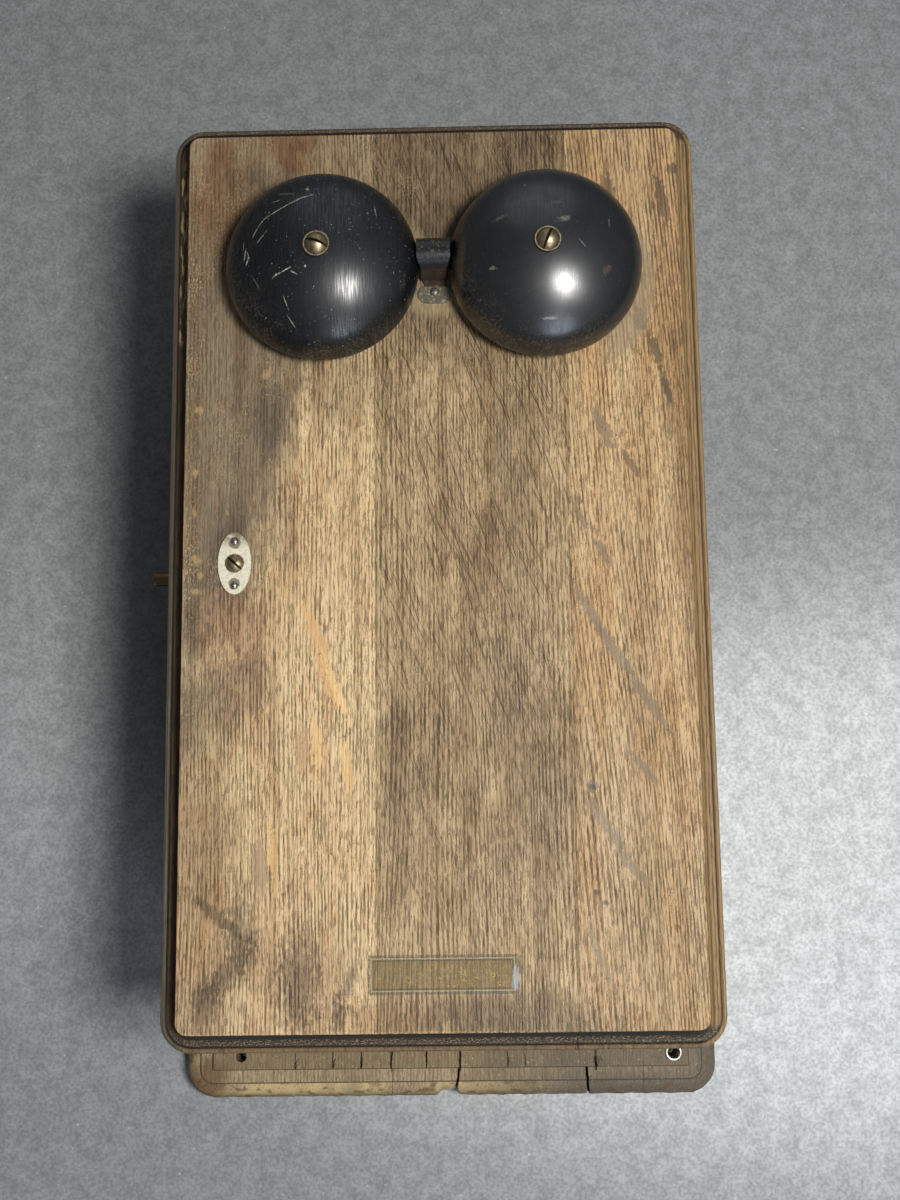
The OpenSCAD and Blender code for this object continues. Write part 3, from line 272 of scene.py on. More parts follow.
# splits in the lower end: where each starts and ends (x and z), half its width, and its depth
splits = ((-70.6, -186, -70.2, -208.4, 0.30, 1.4), (-53.2, -186, -53.2, -208.4, 0.34, 1.4),
          (-40.3, -186, -40.4, -208.4, 0.40, 1.6), (-26.3, -186, -26.9, -208.6, 0.36, 1.5),
          (-26.2, -208.6, -26.6, -221, 0.16, 0.4), (-10.9, -186, -10.8, -208.4, 0.32, 1.3),
          (-11.2, -208.6, -11.8, -217, 0.14, 0.3), (4.7, -186, 4.3, -208.6, 0.42, 2.0),
          (3.9, -208.6, 1.9, -224, 0.60, 3.0), (26.2, -196, 26.0, -208.4, 0.26, 0.8),
          (33.8, -198, 33.9, -208.4, 0.20, 0.5), (65.6, -186, 65.7, -208.5, 0.60, 2.6),
          (61.5, -208.7, 62.6, -224, 0.60, 3.0), (87.3, -200, 87.0, -222, 0.14, 0.3))
rows = np.array([point for split in splits for point in (split[:2], split[2:4])])
board_w, board_h, board_corner = 242.0, 444.0, 13.5


def rim_path(inset, spread):
    """Points round a rounded rectangle drawn in by an inset. The four sides are divided at the
    spread's stations, from -1 to 1 along each side, and each corner is a quarter circle."""
    half_w, half_h = board_w / 2 - board_corner, board_h / 2 - board_corner
    radius = board_corner - np.minimum(inset, board_corner)
    extra = np.maximum(inset - board_corner, 0.0)
    turn = np.linspace(0, np.pi / 2, 9)[1:-1]
    out = []
    for quarter, (long_half, wide_half) in enumerate(((half_w, half_h), (half_h, half_w)) * 2):
        along = spread[quarter] * (long_half - extra)[:, None]
        off = np.broadcast_to((wide_half - extra + radius)[:, None], along.shape)
        bend = np.stack(((long_half - extra)[:, None] + radius[:, None] * np.sin(turn),
                         (wide_half - extra)[:, None] + radius[:, None] * np.cos(turn)))
        side = np.concatenate((np.stack((along, off)), bend), axis=2)
        a = quarter * np.pi / 2
        out.append(np.stack((-side[0] * np.cos(a) - side[1] * np.sin(a),
                             side[0] * np.sin(a) - side[1] * np.cos(a))))
    return np.concatenate(out, axis=2)


# the section, from the middle of the back round the rounded edge to the middle of the front
nose_in, nose_low, nose_high, band_t, board_t = 7.5, 6.8, 9, 17, 19
nose = np.linspace(0, np.pi / 2, 13)
inset = np.concatenate(([60, 30, 14, 6, 2, 0], nose_in - nose_in * np.cos(nose),
                        [nose_in, 7.52, 8.6, 10, 11.6, 13.4],
                        [13.5, 13.52, 14.5, 16, 18, 21, 25, 30, 36, 60]))
depth = np.concatenate(([0] * 6, nose_low + nose_high * np.sin(nose), [15.8] + [band_t] * 5,
                        [band_t] + [board_t] * 9))
# the foot's stations lie close together round each split and the chip
even, upright = np.linspace(-1, 1, 60), np.linspace(-1, 1, 90)
near = np.concatenate([x + np.linspace(-1.6, 1.6, 23) for x in rows[:, 0]]
                      + [np.linspace(-10, 12, 60)])
foot = np.unique(np.concatenate((even, -near / (board_w / 2 - board_corner))))
stations = [foot, upright, even, upright]
path = rim_path(inset, stations)
place = np.stack((path[0], np.broadcast_to(-depth[:, None], path[0].shape), path[1]), axis=2)
# each split is a V groove, sunk along the surface's own normal, the chip is a scooped bite, and
# the lower edge is a little wavy
rise_in, rise_out = np.gradient(inset), np.gradient(depth)
length = np.maximum(np.hypot(rise_in, rise_out), 1e-6)
sink = np.zeros(path[0].shape)
front = (depth > 6)[:, None]
across, up = place[..., 0], place[..., 2]
for x0, z0, x1, z1, half, deep in splits:
    part = np.clip((up - z0) / (z1 - z0), 0, 1)
    middle = x0 + (x1 - x0) * part + 0.07 * np.sin(up * 1.1 + x0)
    groove = np.clip(1 - np.abs(across - middle) / half, 0, 1)
    inside = (up <= z0 + 0.1) & (up >= z1 - 0.1)
    sink = np.maximum(sink, groove * deep * inside * front)
lower = (up < -190).astype(float)
bite = np.exp(-((across + 1.0) / 4.6) ** 4) * 2.3 + np.exp(-((across - 1.5) / 1.6) ** 2) * 0.7
bite *= np.clip((-up - 214) / 6, 0, 1) * lower
wobble = 0.25 * np.sin(across * 0.33) * np.sin(across * 0.91 + 2) * (inset < 6)[:, None] * lower
place[..., 2] += (rise_out / length)[:, None] * sink * lower + bite + wobble * (depth > 3)[:, None]
place[..., 1] += (rise_in / length)[:, None] * sink * lower


def skin(name, grid, joined=False):
    """A closed mesh over a grid of points in millimetres. The columns close round. The first and
    last rows are capped, or are joined to each other."""
    number = np.arange(grid.shape[0] * grid.shape[1]).reshape(grid.shape[:2])
    rows_up = np.concatenate((number, number[:1])) if joined else number
    step = np.roll(rows_up, -1, axis=1)
    quads = np.stack((rows_up[:-1], step[:-1], step[1:], rows_up[1:]), axis=-1).reshape(-1, 4)
    faces = quads.tolist() + ([] if joined else [number[0][::-1].tolist(), number[-1].tolist()])
    mesh = bpy.data.meshes.new(name)
    mesh.from_pydata((grid.reshape(-1, 3) / 1000).tolist(), [], faces)
    work = bmesh.new()
    work.from_mesh(mesh)
    bmesh.ops.recalc_face_normals(work, faces=work.faces)
    if work.calc_volume(signed=True) < 0:
        bmesh.ops.reverse_faces(work, faces=work.faces)
    work.to_mesh(mesh)
    work.free()
    return put(name, mesh)


def smooth(piece, degrees):
    """Shades a piece smoothly, save where its faces meet at more than this angle."""
    piece.data.shade_smooth()
    piece.data.set_sharp_from_angle(angle=np.radians(degrees))


def drill(piece, places):
    """Cuts round holes. Each is a place (x, z) and a list of (radius, y) along the drill. Slivers
    that a cut leaves open are filled."""
    turn = np.linspace(0, 2 * np.pi, 40, endpoint=False)
    for (at_x, at_z), steps in places:
        radius, y = np.array(steps).T[:, :, None]
        bit = skin("drill", np.stack((at_x + radius * np.cos(turn), y + 0 * turn,
                                      at_z + radius * np.sin(turn)), axis=2))
        hole = piece.modifiers.new("hole", "BOOLEAN")
        hole.object, hole.solver = bit, "EXACT"
        cut = piece.evaluated_get(bpy.context.evaluated_depsgraph_get())
        done = bpy.data.meshes.new_from_object(cut)
        piece.modifiers.clear()
        piece.data = done
        bpy.data.objects.remove(bit)
    work = bmesh.new()
    work.from_mesh(piece.data)
    bmesh.ops.holes_fill(work, edges=[edge for edge in work.edges if edge.is_boundary], sides=4)
    work.to_mesh(piece.data)
    work.free()


board = skin("worn_backboard", place)
screw_r, ferrule_r, wire_r = 2.45, 3.3, 6.0
screw_mid_x, screw_half_x, screw_half_z = 3, 97.8, 202.65
start, end = 1.0, -20.0
plain = [(screw_r, start), (screw_r, end)]
stepped = [(screw_r, start), (screw_r, -12.65), (ferrule_r, -12.7), (ferrule_r, end)]
drill(board, [((screw_mid_x + sx * screw_half_x, sz * screw_half_z), plain)
              for sx, sz in ((-1, -1), (-1, 1), (1, 1))]
      + [((screw_mid_x + screw_half_x, -screw_half_z), stepped),
         ((0.0, 128.0), [(wire_r, start), (wire_r, end)])])
smooth(board, 32)
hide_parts("backboard")
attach(board, "case")

raw_oak = Finish("oak_backboard", "a89474", 0.62, specular=0.3)
streaks, lines = oak(raw_oak, "z", 1.7, "857353", "5c4e3a", 3)
inward = raw_oak.edge(board_w, board_h, board_corner)
greyed = raw_oak.noise((26, 30, 50), seed=5)
nose_worn = inward.within(0.0, 7.0, 0.3) * raw_oak.x.fall(10, 60)
raw_oak.coat(inward.within(13.4, 60, 0.6), "66583f", 0.55)
raw_oak.coat(nose_worn * greyed.rise(0.35, 0.55) * inward.slope(0.5, 3.5, 0.2, 1.0),
             "cbb482", 0.75)
raw_oak.coat(raw_oak.x.rise(10, 66) * inward.slope(7, 14, 1.0, 0.6), "59544d", 0.82)
raw_oak.coat(greyed.rise(0.55, 0.7), "5c5242", 0.4)
blotch = raw_oak.noise((6, 5, 3.4), detail=5, seed=6)
raw_oak.coat(blotch.rise(0.52, 0.64) * inward.within(0, 6.8, 0.5), "5f4e35", 0.7)
raw_oak.coat(inward.fall(0.8, 2.6) * blotch.slope(0.4, 0.6, 1.0, 0.5) * raw_oak.x.fall(20, 50),
             "6a5436", 0.6)
raw_oak.coat(raw_oak.spot(-111, -214, 16, 22, 40, 0.5, blotch - 0.5), "5a4029", 0.7)
# painted shade: thin dark lines in the creases at the two steps of the edge
raw_oak.coat(inward.within(7.1, 7.7, 0.2) + inward.within(13.2, 13.7, 0.2), "3a3023", 0.8)
raw_oak.dapple((1.0, 2, 1.0), 4, 0.58, 0.7, "51452f", 0.5, seed=6)
raw_oak.dapple((1.2, 2, 1.2), 3, 0.66, 0.72, "c9b58a", 0.5, seed=8)
# the back, planed and never finished
behind = raw_oak.y.rise(-0.5, -0.2)
raw_oak.coat(behind, "a18a66")
raw_oak.coat(behind * greyed.rise(0.45, 0.65), "8a7556", 0.7)
raw_oak.coat(behind * streaks, "8f7956", 0.6)
raw_oak.coat(behind * lines, "6d5b40", 0.6)
for x0, z0, x1, z1, half, deep in splits:
    z = raw_oak.z
    middle = z.slope(z1, z0, x1, x0) + (z * 1.1 + x0).work("SINE") * 0.07
    # painted shade: each split darkened towards black, the more the deeper it is
    painted_split_shade = (raw_oak.x - middle).size().fall(half * 0.5, half * 1.1) * z.within(z1, z0, 0.15)
    raw_oak.coat(painted_split_shade, "15100b", min(0.95, deep))
raw_oak.lay_on("worn_backboard")

# ---------- wall-screw ferrule ----------
# A turned nickel-plated brass ring, pressed into the lower right screw hole, dull with age.
nickel_ring = Finish("nickel_ring", "c9c6bd", 0.32, metal=1.0)
nickel_ring.dapple(2, 4, 0.5, 0.7, "7c735e", 0.7)
nickel_ring.scuff(1, 0.4, 0.7, 0.5)
nickel_ring.lay_on("wall_screw_ferrule")

# ---------- walls and shelf ----------
# Four oak boards, rebated at the corners and glued, with a grooved-in shelf for the generator.
# They have the door's brown finish outside, and the shelf is paler.
for name, along, bare, seed in (
        ("left_wall", "z", "6e5638", 9), ("right_wall", "z", "73593a", 11),
        ("top_wall", "x", "6a5236", 8), ("bottom_wall", "x", "6c5437", 12)):
    wall = Finish("oak_" + name, bare, 0.5)
    oak(wall, along, pitch=1.6, lines="453320", pores="271c11", seed=seed)
    wall.dapple((40, 40, 60), 3, 0.5, 0.7, "3d2e1e", 0.6, seed=4)
    # painted shade: each wall darker towards the back, where it meets the backboard
    wall.coat(wall.y.rise(-40, -20), "34281c", 0.5)
    wall.scuff((20, 20, 30), 0.4, 0.6, 0.6)
    wall.lay_on(name)
shelf = Finish("pale_shelf", "a58a60", 0.6, specular=0.3)
oak(shelf, "x", pitch=2.2, lines="8a6c45", pores="6b5232", seed=9)
shelf.dapple(30, 3, 0.5, 0.75, "7b6243", 0.5)
shelf.lay_on("generator_shelf")

# ---------- hinges, pins and case screws ----------
# Pressed brass butt hinges on steel pins, and slotted steel screws, all browned with age.
brass = Finish("aged_brass", "9d8a60", 0.38, metal=1.0)
brass.dapple(3, 5, 0.45, 0.7, "6a5330", 0.7)
brass.dapple(0.7, 3, 0.6, 0.74, "4a3a22", 0.4, seed=2)
brass.scuff(2, 0.4, 0.65, 0.5, seed=3)
brass.lift(brass.noise((0.5, 0.5, 6), seed=4), 0.02)
brass.lay_on("case_hinge_leaves", "door_hinge_leaves")
steel = Finish("dull_steel", "8f8d88", 0.4, metal=1.0)
steel.dapple(2.5, 5, 0.5, 0.68, "5a4a38", 0.75)
steel.scuff(1.2, 0.4, 0.65, 0.6, seed=2)
steel.lay_on("hinge_pins", "case_screws", "door_screws", "generator_screws", "pivot_pin")

# ---------- latch keeper and crank bushing ----------
# The keeper is a bent brass strip on the left wall. The bushing is a turned brass flange with
# its sleeve through the wall, rubbed bright where the shaft runs.
turned = Finish("turned_brass", "a8966a", 0.3, metal=1.0)
rings = turned.y.reach(turned.z).wave(0.5)
turned.dapple(4, 4, 0.45, 0.7, "6f5731", 0.65)
turned.lift(rings, 0.012)
turned.scuff(2, 0.4, 0.6, 0.45)
turned.lay_on("latch_keeper", "shaft_bushing")

# ---------- generator frame ----------
# A black-japanned iron bed and soft iron pole pieces, with brass end plates, held by straps.
japan = Finish("black_japan", "1b1b1c", 0.3)
japan.dapple(7, 5, 0.5, 0.75, "2e2922", 0.5)
japan.scuff(4, 0.4, 0.65, 0.5, detail=3)
japan.lift(japan.noise(1.6, detail=3), 0.03)
japan.lay_on("bed_plate", "magnet_clamps", "ringer_yoke", "armature_bracket", "condenser_strap")
iron = Finish("soft_iron", "5d5a55", 0.45, metal=1.0)
iron.dapple(5, 5, 0.48, 0.68, "3f3227", 0.7)
iron.lift(iron.noise((0.4, 12, 0.4), seed=2), 0.02)
iron.scuff(3, 0.4, 0.6, 0.6)
iron.lay_on("pole_pieces", "armature_core", "ringer_cores", "ringer_armature", "ringer_plate")
plate = Finish("plate_brass", "a59263", 0.34, metal=1.0)
plate.dapple(8, 4, 0.45, 0.7, "765c34", 0.6)
plate.lift(plate.noise((8, 0.4, 8), seed=2), 0.015)
plate.scuff(3, 0.4, 0.6, 0.5)
plate.lay_on("left_end_plate", "right_end_plate", "contact_springs")

# ---------- magnets ----------
# Four hardened steel bars bent to a horseshoe and enamelled dull black, worn bare at corners.
bars = Finish("magnet_steel", "2b2b2d", 0.42, metal=0.35)
bars.dapple((3, 3, 9), 6, 0.6, 0.74, "5a5752", 0.35)
bars.dapple((14, 9, 14), 5, 0.5, 0.72, "3f332a", 0.5, seed=3)
bars.lift(bars.noise(1.5, detail=3, seed=2), 0.04)
bars.scuff(3, 0.4, 0.6, 0.55)
bars.lay_on("magnets", "ringer_magnet")

# ---------- contact block ----------
# A moulded block of hard rubber, faded from black to a greenish brown.
rubber = Finish("hard_rubber", "2a261f", 0.5)
rubber.dapple(8, 3, 0.4, 0.7, "3d3a28", 0.7)
rubber.lift(rubber.noise(0.6, detail=2), 0.03)
rubber.scuff(5, 0.4, 0.6, 0.65)
rubber.lay_on("contact_block", "induction_heads")

# ---------- crank shaft and gears ----------
# The shaft is turned brass, and its end shows outside the left wall. The drive gear is cut from
# brass plate and runs with an iron pinion on the armature's steel shaft, all lightly oiled.
shaft = Finish("shaft_brass", "a8935f", 0.28, metal=1.0)
shaft.dapple((3, 2, 2), 4, 0.45, 0.7, "705732", 0.6)
# painted shade: the end outside the left wall darkened
shaft.coat(shaft.x.fall(-104, -102), "4f4130", 0.7)
shaft.lift(shaft.x.wave(0.6), 0.01)
shaft.scuff(2, 0.4, 0.6, 0.42)
shaft.lay_on("crank_shaft")
gear = Finish("gear_brass", "ab9663", 0.3, metal=1.0)
gear.dapple(7, 4, 0.45, 0.7, "7d6135", 0.55)
gear.lift(gear.y.reach(gear.z).wave(0.7), 0.012)
gear.scuff(3, 0.4, 0.6, 0.45)
gear.lay_on("drive_gear")
oiled = Finish("oiled_steel", "9a9a98", 0.25, metal=1.0)
oiled.dapple(3, 4, 0.5, 0.7, "6b5f4e", 0.6)
oiled.scuff(2, 0.4, 0.6, 0.4)
oiled.lay_on("armature_shaft", "armature_pinion")

# ---------- windings ----------
# The armature is wound along its slots with dark enamelled wire. The ringer and induction
# coils are wound round with silk-covered wire under a varnished cover.
wire_wound = Finish("armature_wire", "5c2f1c", 0.35)
# painted light: the crest of each turn of wire lighter, over the same wave that raises it
wire_wound.coat(wire_wound.y.wave(0.5).rise(0.3, 0.9), "8a4a2a", 0.7)
wire_wound.dapple((10, 3, 3), 3, 0.5, 0.7, "33190f", 0.6)
wire_wound.lift(wire_wound.y.wave(0.5), 0.1)
wire_wound.lay_on("armature_winding")


def winding(name, node, way, middle, long, radius, bore, pitch, cheek, body):
    """A bobbin on an axis: its surface swells over each turn of a helix of this pitch, as a sine's
    height, and the turns are a little uneven. A flange of the cheek's thickness ends it each side,
    and a bore runs through. The grid closes on itself through the bore."""
    wire = pitch * 0.45
    rows_per_turn, flange_more = 7, 1.0 if cheek else 0.0
    around = np.linspace(0, 2 * np.pi, 56, endpoint=False)
    along = np.linspace(-long / 2 + cheek, long / 2 - cheek,
                        int(long / pitch * rows_per_turn))[:, None]
    turns = np.abs(np.sin(np.pi * along / pitch + around / 2)) ** 0.7
    uneven = (0.12 * np.sin(along * 1.7 + 1) * np.sin(along * 0.61)
              + 0.05 * np.sin(3 * around + along))
    wound = radius - flange_more - wire + turns * wire + np.minimum(uneven, 0.0) - 0.05
    ends = [(-long / 2, bore), (-long / 2, radius - 0.3), (-long / 2 + 0.3, radius)]
    ends += [(-long / 2 + cheek - 0.2, radius), (-long / 2 + cheek, radius - 0.2)] if cheek else []
    low = np.array(ends)
    high = low[::-1] * (-1, 1)
    place = np.concatenate((low[:, :1], along, high[:, :1])) + 0 * around
    size = np.concatenate((low[:, 1:] + 0 * around, wound, high[:, 1:] + 0 * around))
    a, b = size * np.cos(around), size * np.sin(around)
    grid = np.stack((place, a, b) if way == "x" else (a, b, place), axis=2) + middle
    piece = skin(name, grid, joined=True)
    smooth(piece, 60)
    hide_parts(node)
    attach(piece, body)


winding("left_coil", "ringer_coils", "z", (-16.6, -112.6, 77), 40, 12, 4, 0.8, 1.5, "door")
winding("right_coil", "ringer_coils", "z", (17.4, -112.6, 77), 40, 12, 4, 0.8, 1.5, "door")
winding("silk_winding", "induction_winding", "x", (0, -35, 101), 80, 13, 5, 0.9, 0, "case")
coil = Finish("coil_cover", "6b3a26", 0.5)
nearest = (coil.x - 0.4).size() - 17
from_core = nearest.reach(coil.y + 112.6)
# painted shade: the troughs between the turns of wire darkened, the crests left lighter
coil.coat(from_core.fall(10.75, 10.95), "2c1710", 0.8)
coil.dapple((6, 6, 9), 4, 0.45, 0.7, "4a2618", 0.6)
coil.coat(from_core.rise(11.2, 11.5), "2a2622", 0.95)
coil.scuff(4, 0.4, 0.6, 0.62)
coil.lay_on("left_coil", "right_coil")
silk = Finish("green_silk", "4a6b4a", 0.62)
from_axis = (silk.y + 35).reach(silk.z - 101)
# painted shade: the troughs between the turns darkened, and the coil's flat ends with them
silk.coat(from_axis.fall(12.6, 12.9), "243527", 0.8)
silk.dapple((9, 6, 6), 3, 0.5, 0.7, "34493a", 0.6)
silk.lift(silk.noise((0.12, 0.5, 0.5), detail=2), 0.04)
silk.lay_on("silk_winding")
core = Finish("iron_wire_core", "4b4641", 0.5, metal=1.0)
core.dapple((3, 0.9, 0.9), 2, 0.45, 0.6, "2c231b", 0.8)
core.lift(core.noise((6, 0.8, 0.8)), 0.25)
core.lay_on("induction_core")

# ---------- terminals and condenser ----------
# A maple strip with nickelled screws. The condenser is a soldered tin can, coated and stained.
maple = Finish("maple_strip", "b3946a", 0.5)
oak(maple, "x", pitch=2.6, lines="9a7a50", pores="836543", seed=14)
maple.dapple((14, 6, 6), 3, 0.5, 0.75, "8a6b45", 0.5)
maple.lay_on("terminal_strip")
posts = Finish("nickel_screws", "b9b4a4", 0.3, metal=1.0)
posts.dapple(2, 4, 0.5, 0.68, "6f6046", 0.7)
posts.scuff(1.2, 0.4, 0.6, 0.45)
posts.lay_on("terminal_screws")
tin = Finish("tinned_can", "a7a69c", 0.4, metal=0.9)
tin.dapple((20, 20, 34), 5, 0.42, 0.72, "87826e", 0.6)
tin.dapple(6, 6, 0.62, 0.74, "7a5f42", 0.45, seed=2)
tin.lift(tin.noise(16, detail=1, seed=3), 0.25)
tin.scuff(4, 0.4, 0.6, 0.55)
tin.lay_on("condenser")

# ---------- wiring ----------
# Solid copper wire in a braided cotton cover, waxed, laid in neat runs and bent by hand.
braid = Finish("braided_wire", "6b5a3a", 0.75, specular=0.2)
weave = ((braid.x + braid.y + braid.z).wave(1.1) * (braid.x - braid.y + braid.z).wave(1.1))
# painted light: the raised crossings of the braid lighter, over the same weave that raises them
braid.coat(weave.rise(0.3, 0.7), "94815a", 0.7)
braid.dapple(9, 3, 0.5, 0.7, "3f3424", 0.5)
braid.lift(weave, 0.12)
braid.lay_on("case_wiring", "door_wiring")

# ---------- door ----------
# Three quartered oak boards glued edge to edge, with a cove and a bead worked round the edge.
# The old finish is worn through on the tan ground, and is dark in the cove and round the latch.
wood = Finish("oak_door", "dfc497", 0.46, specular=0.4)
x, z = wood.x, wood.z
door_w, door_h, door_corner, latch_x = 213, 370, 12, -78.6
inward = wood.edge(door_w, door_h, door_corner)
seam = x - z * 0.009 - 52.0
right_board = seam.rise(-0.3, 0.3)
centre_board = (x + 24).rise(-0.6, 0.6) * seam.fall(-0.3, 0.3)
ground = wood.noise((10, 30, 60), detail=3, seed=2)
mottle = wood.noise((9, 20, 16), detail=5, seed=11)
tear = wood.noise((1.5, 5, 2.6), detail=4, seed=12) - 0.5
wood.coat(ground.rise(0.42, 0.6), "d2b186", 0.7)
wood.coat(mottle.rise(0.54, 0.68), "d3a976", 0.5)
wood.coat(centre_board, "c2a880", 0.96)
wood.coat(centre_board * mottle.rise(0.42, 0.58), "b0966f", 0.8)
wood.coat(centre_board * ground.rise(0.5, 0.66), "a58c6c", 0.6)
wood.coat(right_board, "cbad82", 0.94)
wood.coat(right_board * ground.rise(0.4, 0.6), "c99f6c", 0.65)
wood.stain(right_board * z.fall(-150, 60), "dcdcda", 0.8)
# rays of the quartered boards: smooth flecks that the growth lines miss
flecks = None
for at_x, at_z, wide, high, turn, code in (
        (55.7, 17, 2.0, 15, -28, "86735a"), (64.6, 2, 2.6, 13, -33, "8a7860"),
        (58.4, -20, 2.8, 24, -30, "8c7a62"), (67.6, -36, 3.4, 26, -34, "88765f"),
        (80.2, -56, 3.2, 26, -33, "8a785f"), (77.4, -81, 2.8, 13, -40, "8a785f"),
        (63.0, -103, 3.6, 26, -34, "8a785f"), (72.0, -118, 3.0, 20, -42, "8f7c60"),
        (59.0, -151, 2.6, 22, -21, "937f62"), (87.4, 84, 3.0, 15, -16, "64543f"),
        (91.4, 68, 2.4, 14, -16, "5f503c"), (66.0, 52, 4.0, 17, -20, "857259"),
        (76.4, 37, 2.4, 12, -28, "75634b"), (70.6, 151, 4.6, 15, -4, "746149"),
        (92.5, 146, 4.0, 20, -10, "57493a"), (97.4, 160, 3.6, 5, 10, "4f4337"),
        (82.0, 96, 4.0, 11, -16, "7d6c55"), (57.6, -88, 3.6, 4.0, 0, "75695a"),
        (-47.2, -28, 4.0, 22, -24, "d0a672"), (-43.2, -44, 4.4, 20, -20, "cfa36d"),
        (-39.0, -50, 2.4, 26, -20, "e6bf85"), (-52.0, -72, 4.4, 16, 4, "b79470"),
        (-46.8, -70, 3.4, 18, -4, "dcb47b"), (-68.0, -117, 4.6, 20, -4, "a58c6e"),
        (-63.0, -112, 2.6, 26, -6, "e0b87c"), (-35.0, -80, 3.0, 20, -4, "dcb47b")):
    fleck = wood.spot(at_x, at_z, wide * 1.2, high * 1.05, turn, 0.24, tear * 2.4)
    wood.coat(fleck, code, 0.85)
    flecks = fleck if flecks is None else flecks.larger(fleck)
# the old dark finish at the left and round the latch, and the face darker towards the top
dark = wood.noise((16, 30, 24), detail=6, seed=15)
cloud = (dark - 0.5) * 1.6
stained = ((x - z.slope(-60, 95, -92, -48) + cloud * 26).fall(-9, 7)
           * (z + cloud * 30).rise(-88, -58))
wood.stain(stained * z.slope(110, 150, 1.0, 0.72), "9b9ea6", 0.97)
# darker towards the top, less so on the right board and over the stain at the left
wood.stain((z + cloud * 44).rise(72, 150) * (right_board * -0.75 + 1) * (stained * -0.7 + 1),
           "a6a4a8", 0.85)
wood.stain((x + cloud * 20).fall(-92, -66) * z.fall(-60, -30), "d4d0cc", 0.9)
# patches over the face, darker or tinted, one of them between the gongs and one below the left gong
for *where, code, much in (
        (-88, 150, 22, 44, 10, "c09678", 0.6), (-60, 170, 14, 22, -34, "c48a64", 0.6),
        (-80, 126, 14, 40, 8, "bc9880", 0.5), (-52, 176, 9, 10, 0, "b88460", 0.6),
        (-84, 172, 10, 12, 20, "c08e6c", 0.5), (-66, 156, 26, 18, 10, "9c9ca6", 0.5),
        (-62, 62, 18, 34, 10, "a8a4ae", 0.5), (-84, -24, 28, 40, 0, "b8a2a0", 0.8),
        (-78, -50, 26, 26, 10, "aaa6ae", 0.6), (-88, -108, 26, 44, 0, "dcd6d0", 0.6),
        (-86, -170, 24, 24, 0, "e2e0e2", 0.4), (-62, 20, 14, 50, 0, "b4b0b4", 0.5),
        (-50, -156, 34, 34, -10, "cac6c8", 0.6), (12, 118, 70, 60, 0, "c8c6c8", 0.8),
        (-24, -173, 60, 16, 0, "b49c88", 0.5), (30, -173, 70, 22, 0, "9c9896", 0.7),
        (-36, 70, 44, 30, 0, "c6c4c2", 0.65), (97, 30, 14, 220, -3, "b4aca0", 0.6),
        (8, 88, 60, 30, 0, "c8c4c0", 0.5), (30, 40, 24, 120, 8, "bdbab6", 0.6),
        (20, 0, 16, 60, 10, "c0b0a0", 0.5), (8, -80, 60, 90, 0, "e0dedc", 0.6),
        (40, -90, 20, 90, 0, "c4beb8", 0.6)):
    wood.stain(wood.spot(*where, 0.5, cloud * 1.3 + tear * 0.8), code, much)
for at_x, at_z, wide, high, turn in (
        (-83, -135, 4, 24, -52), (-75, -142, 10, 24, -8), (-80, -155, 7, 24, 40),
        (-88, -166, 9, 16, 20), (-35, -160, 3.6, 16, 24), (-38.5, -171, 4.4, 12, 4),
        (-53, -158, 13, 30, 0)):
    mark = wood.spot(at_x, at_z, wide * 1.2, high * 1.1, turn, 0.45, tear * 2.6)
    wood.stain(mark, "928c8f", 0.62)
streaks, lines, pores = figure(wood, "z", right_board * 0.06, 1.5, seed=1, thin=right_board * 0.12)
calm = (flecks * -0.85 + 1) * (stained * -0.35 + 1)
patchy = wood.noise((16, 30, 30), detail=3, seed=17).slope(0.36, 0.62, 0.45, 1.0)
wood.stain(streaks, "cfc6ba", 0.6)
wood.stain(lines * patchy * calm, "8b8474", 0.86)
wood.stain(pores * calm, "948c7e", 0.72)
slant = (wood.noise((0.8, 6, 26), detail=1, turn=-18, seed=7).rise(0.63, 0.7)
         + wood.noise((0.8, 6, 34), detail=1, turn=-25, seed=8).rise(0.65, 0.72)) * centre_board
slant = slant * z.slope(-150, 40, 0.35, 1.0)
wood.stain(slant.smaller(1.0), "948a80", 0.78)
for at_x, at_z in ((57.6, -88), (58.3, -127), (61.6, -131)):
    wood.coat(wood.spot(at_x, at_z, 2.6, 1.8, 20, 0.4, tear), "4a3f33", 0.8)
# crackled old finish in the upper right corner, then dust and knocks
upper_right = (x * 0.6 + z).rise(128, 200) * x.rise(48, 60)
wood.coat(upper_right * streaks.fall(0.2, 0.8), "cfa470", 0.15)
wood.coat(upper_right * lines * dark.rise(0.34, 0.54), "4a4034", 0.72)
wood.coat(x.rise(88, 98) * z.rise(-20, 60) * lines * dark.fall(0.44, 0.56), "4c4033", 0.6)
pepper = wood.noise((0.7, 4, 0.9), detail=4, seed=41)
wood.coat(pepper.rise(0.6, 0.68) * dark.rise(0.42, 0.56), "3f352a", 0.5)
dust = wood.spot(-11, 131, 12, 24, -36, 0.6, tear) + wood.spot(0, 106, 19, 14, 0, 0.4, tear)
wood.coat(dust.smaller(1.0), "a8956f", 0.5)
wood.coat(wood.spot(46.4, 113, 84, 84, 0, 0.03) * x.rise(60, 76), "8c7c64", 0.6)
wood.coat(wood.spot(latch_x, 4, 22, 38, 0, 0.45, tear), "3d2f22", 0.55)
for where in (
        (-94.6, 20.4, 3.0, 1.4, 60), (-81.8, 20.2, 1.8, 0.8, 70), (-93.4, 1.7, 3.4, 3.4, 0),
        (-93.2, -10.8, 3.8, 2.4, 0), (-92.0, -4.5, 2.0, 2.6, 0), (-66.6, 76.5, 3.0, 4.4, 20),
        (-93.6, 62.0, 3.4, 2.4, 0), (-94.6, 36.4, 2.6, 2.8, 0)):
    wood.coat(wood.spot(*where, 0.6, tear * 3.0), "b89a66", 0.55)
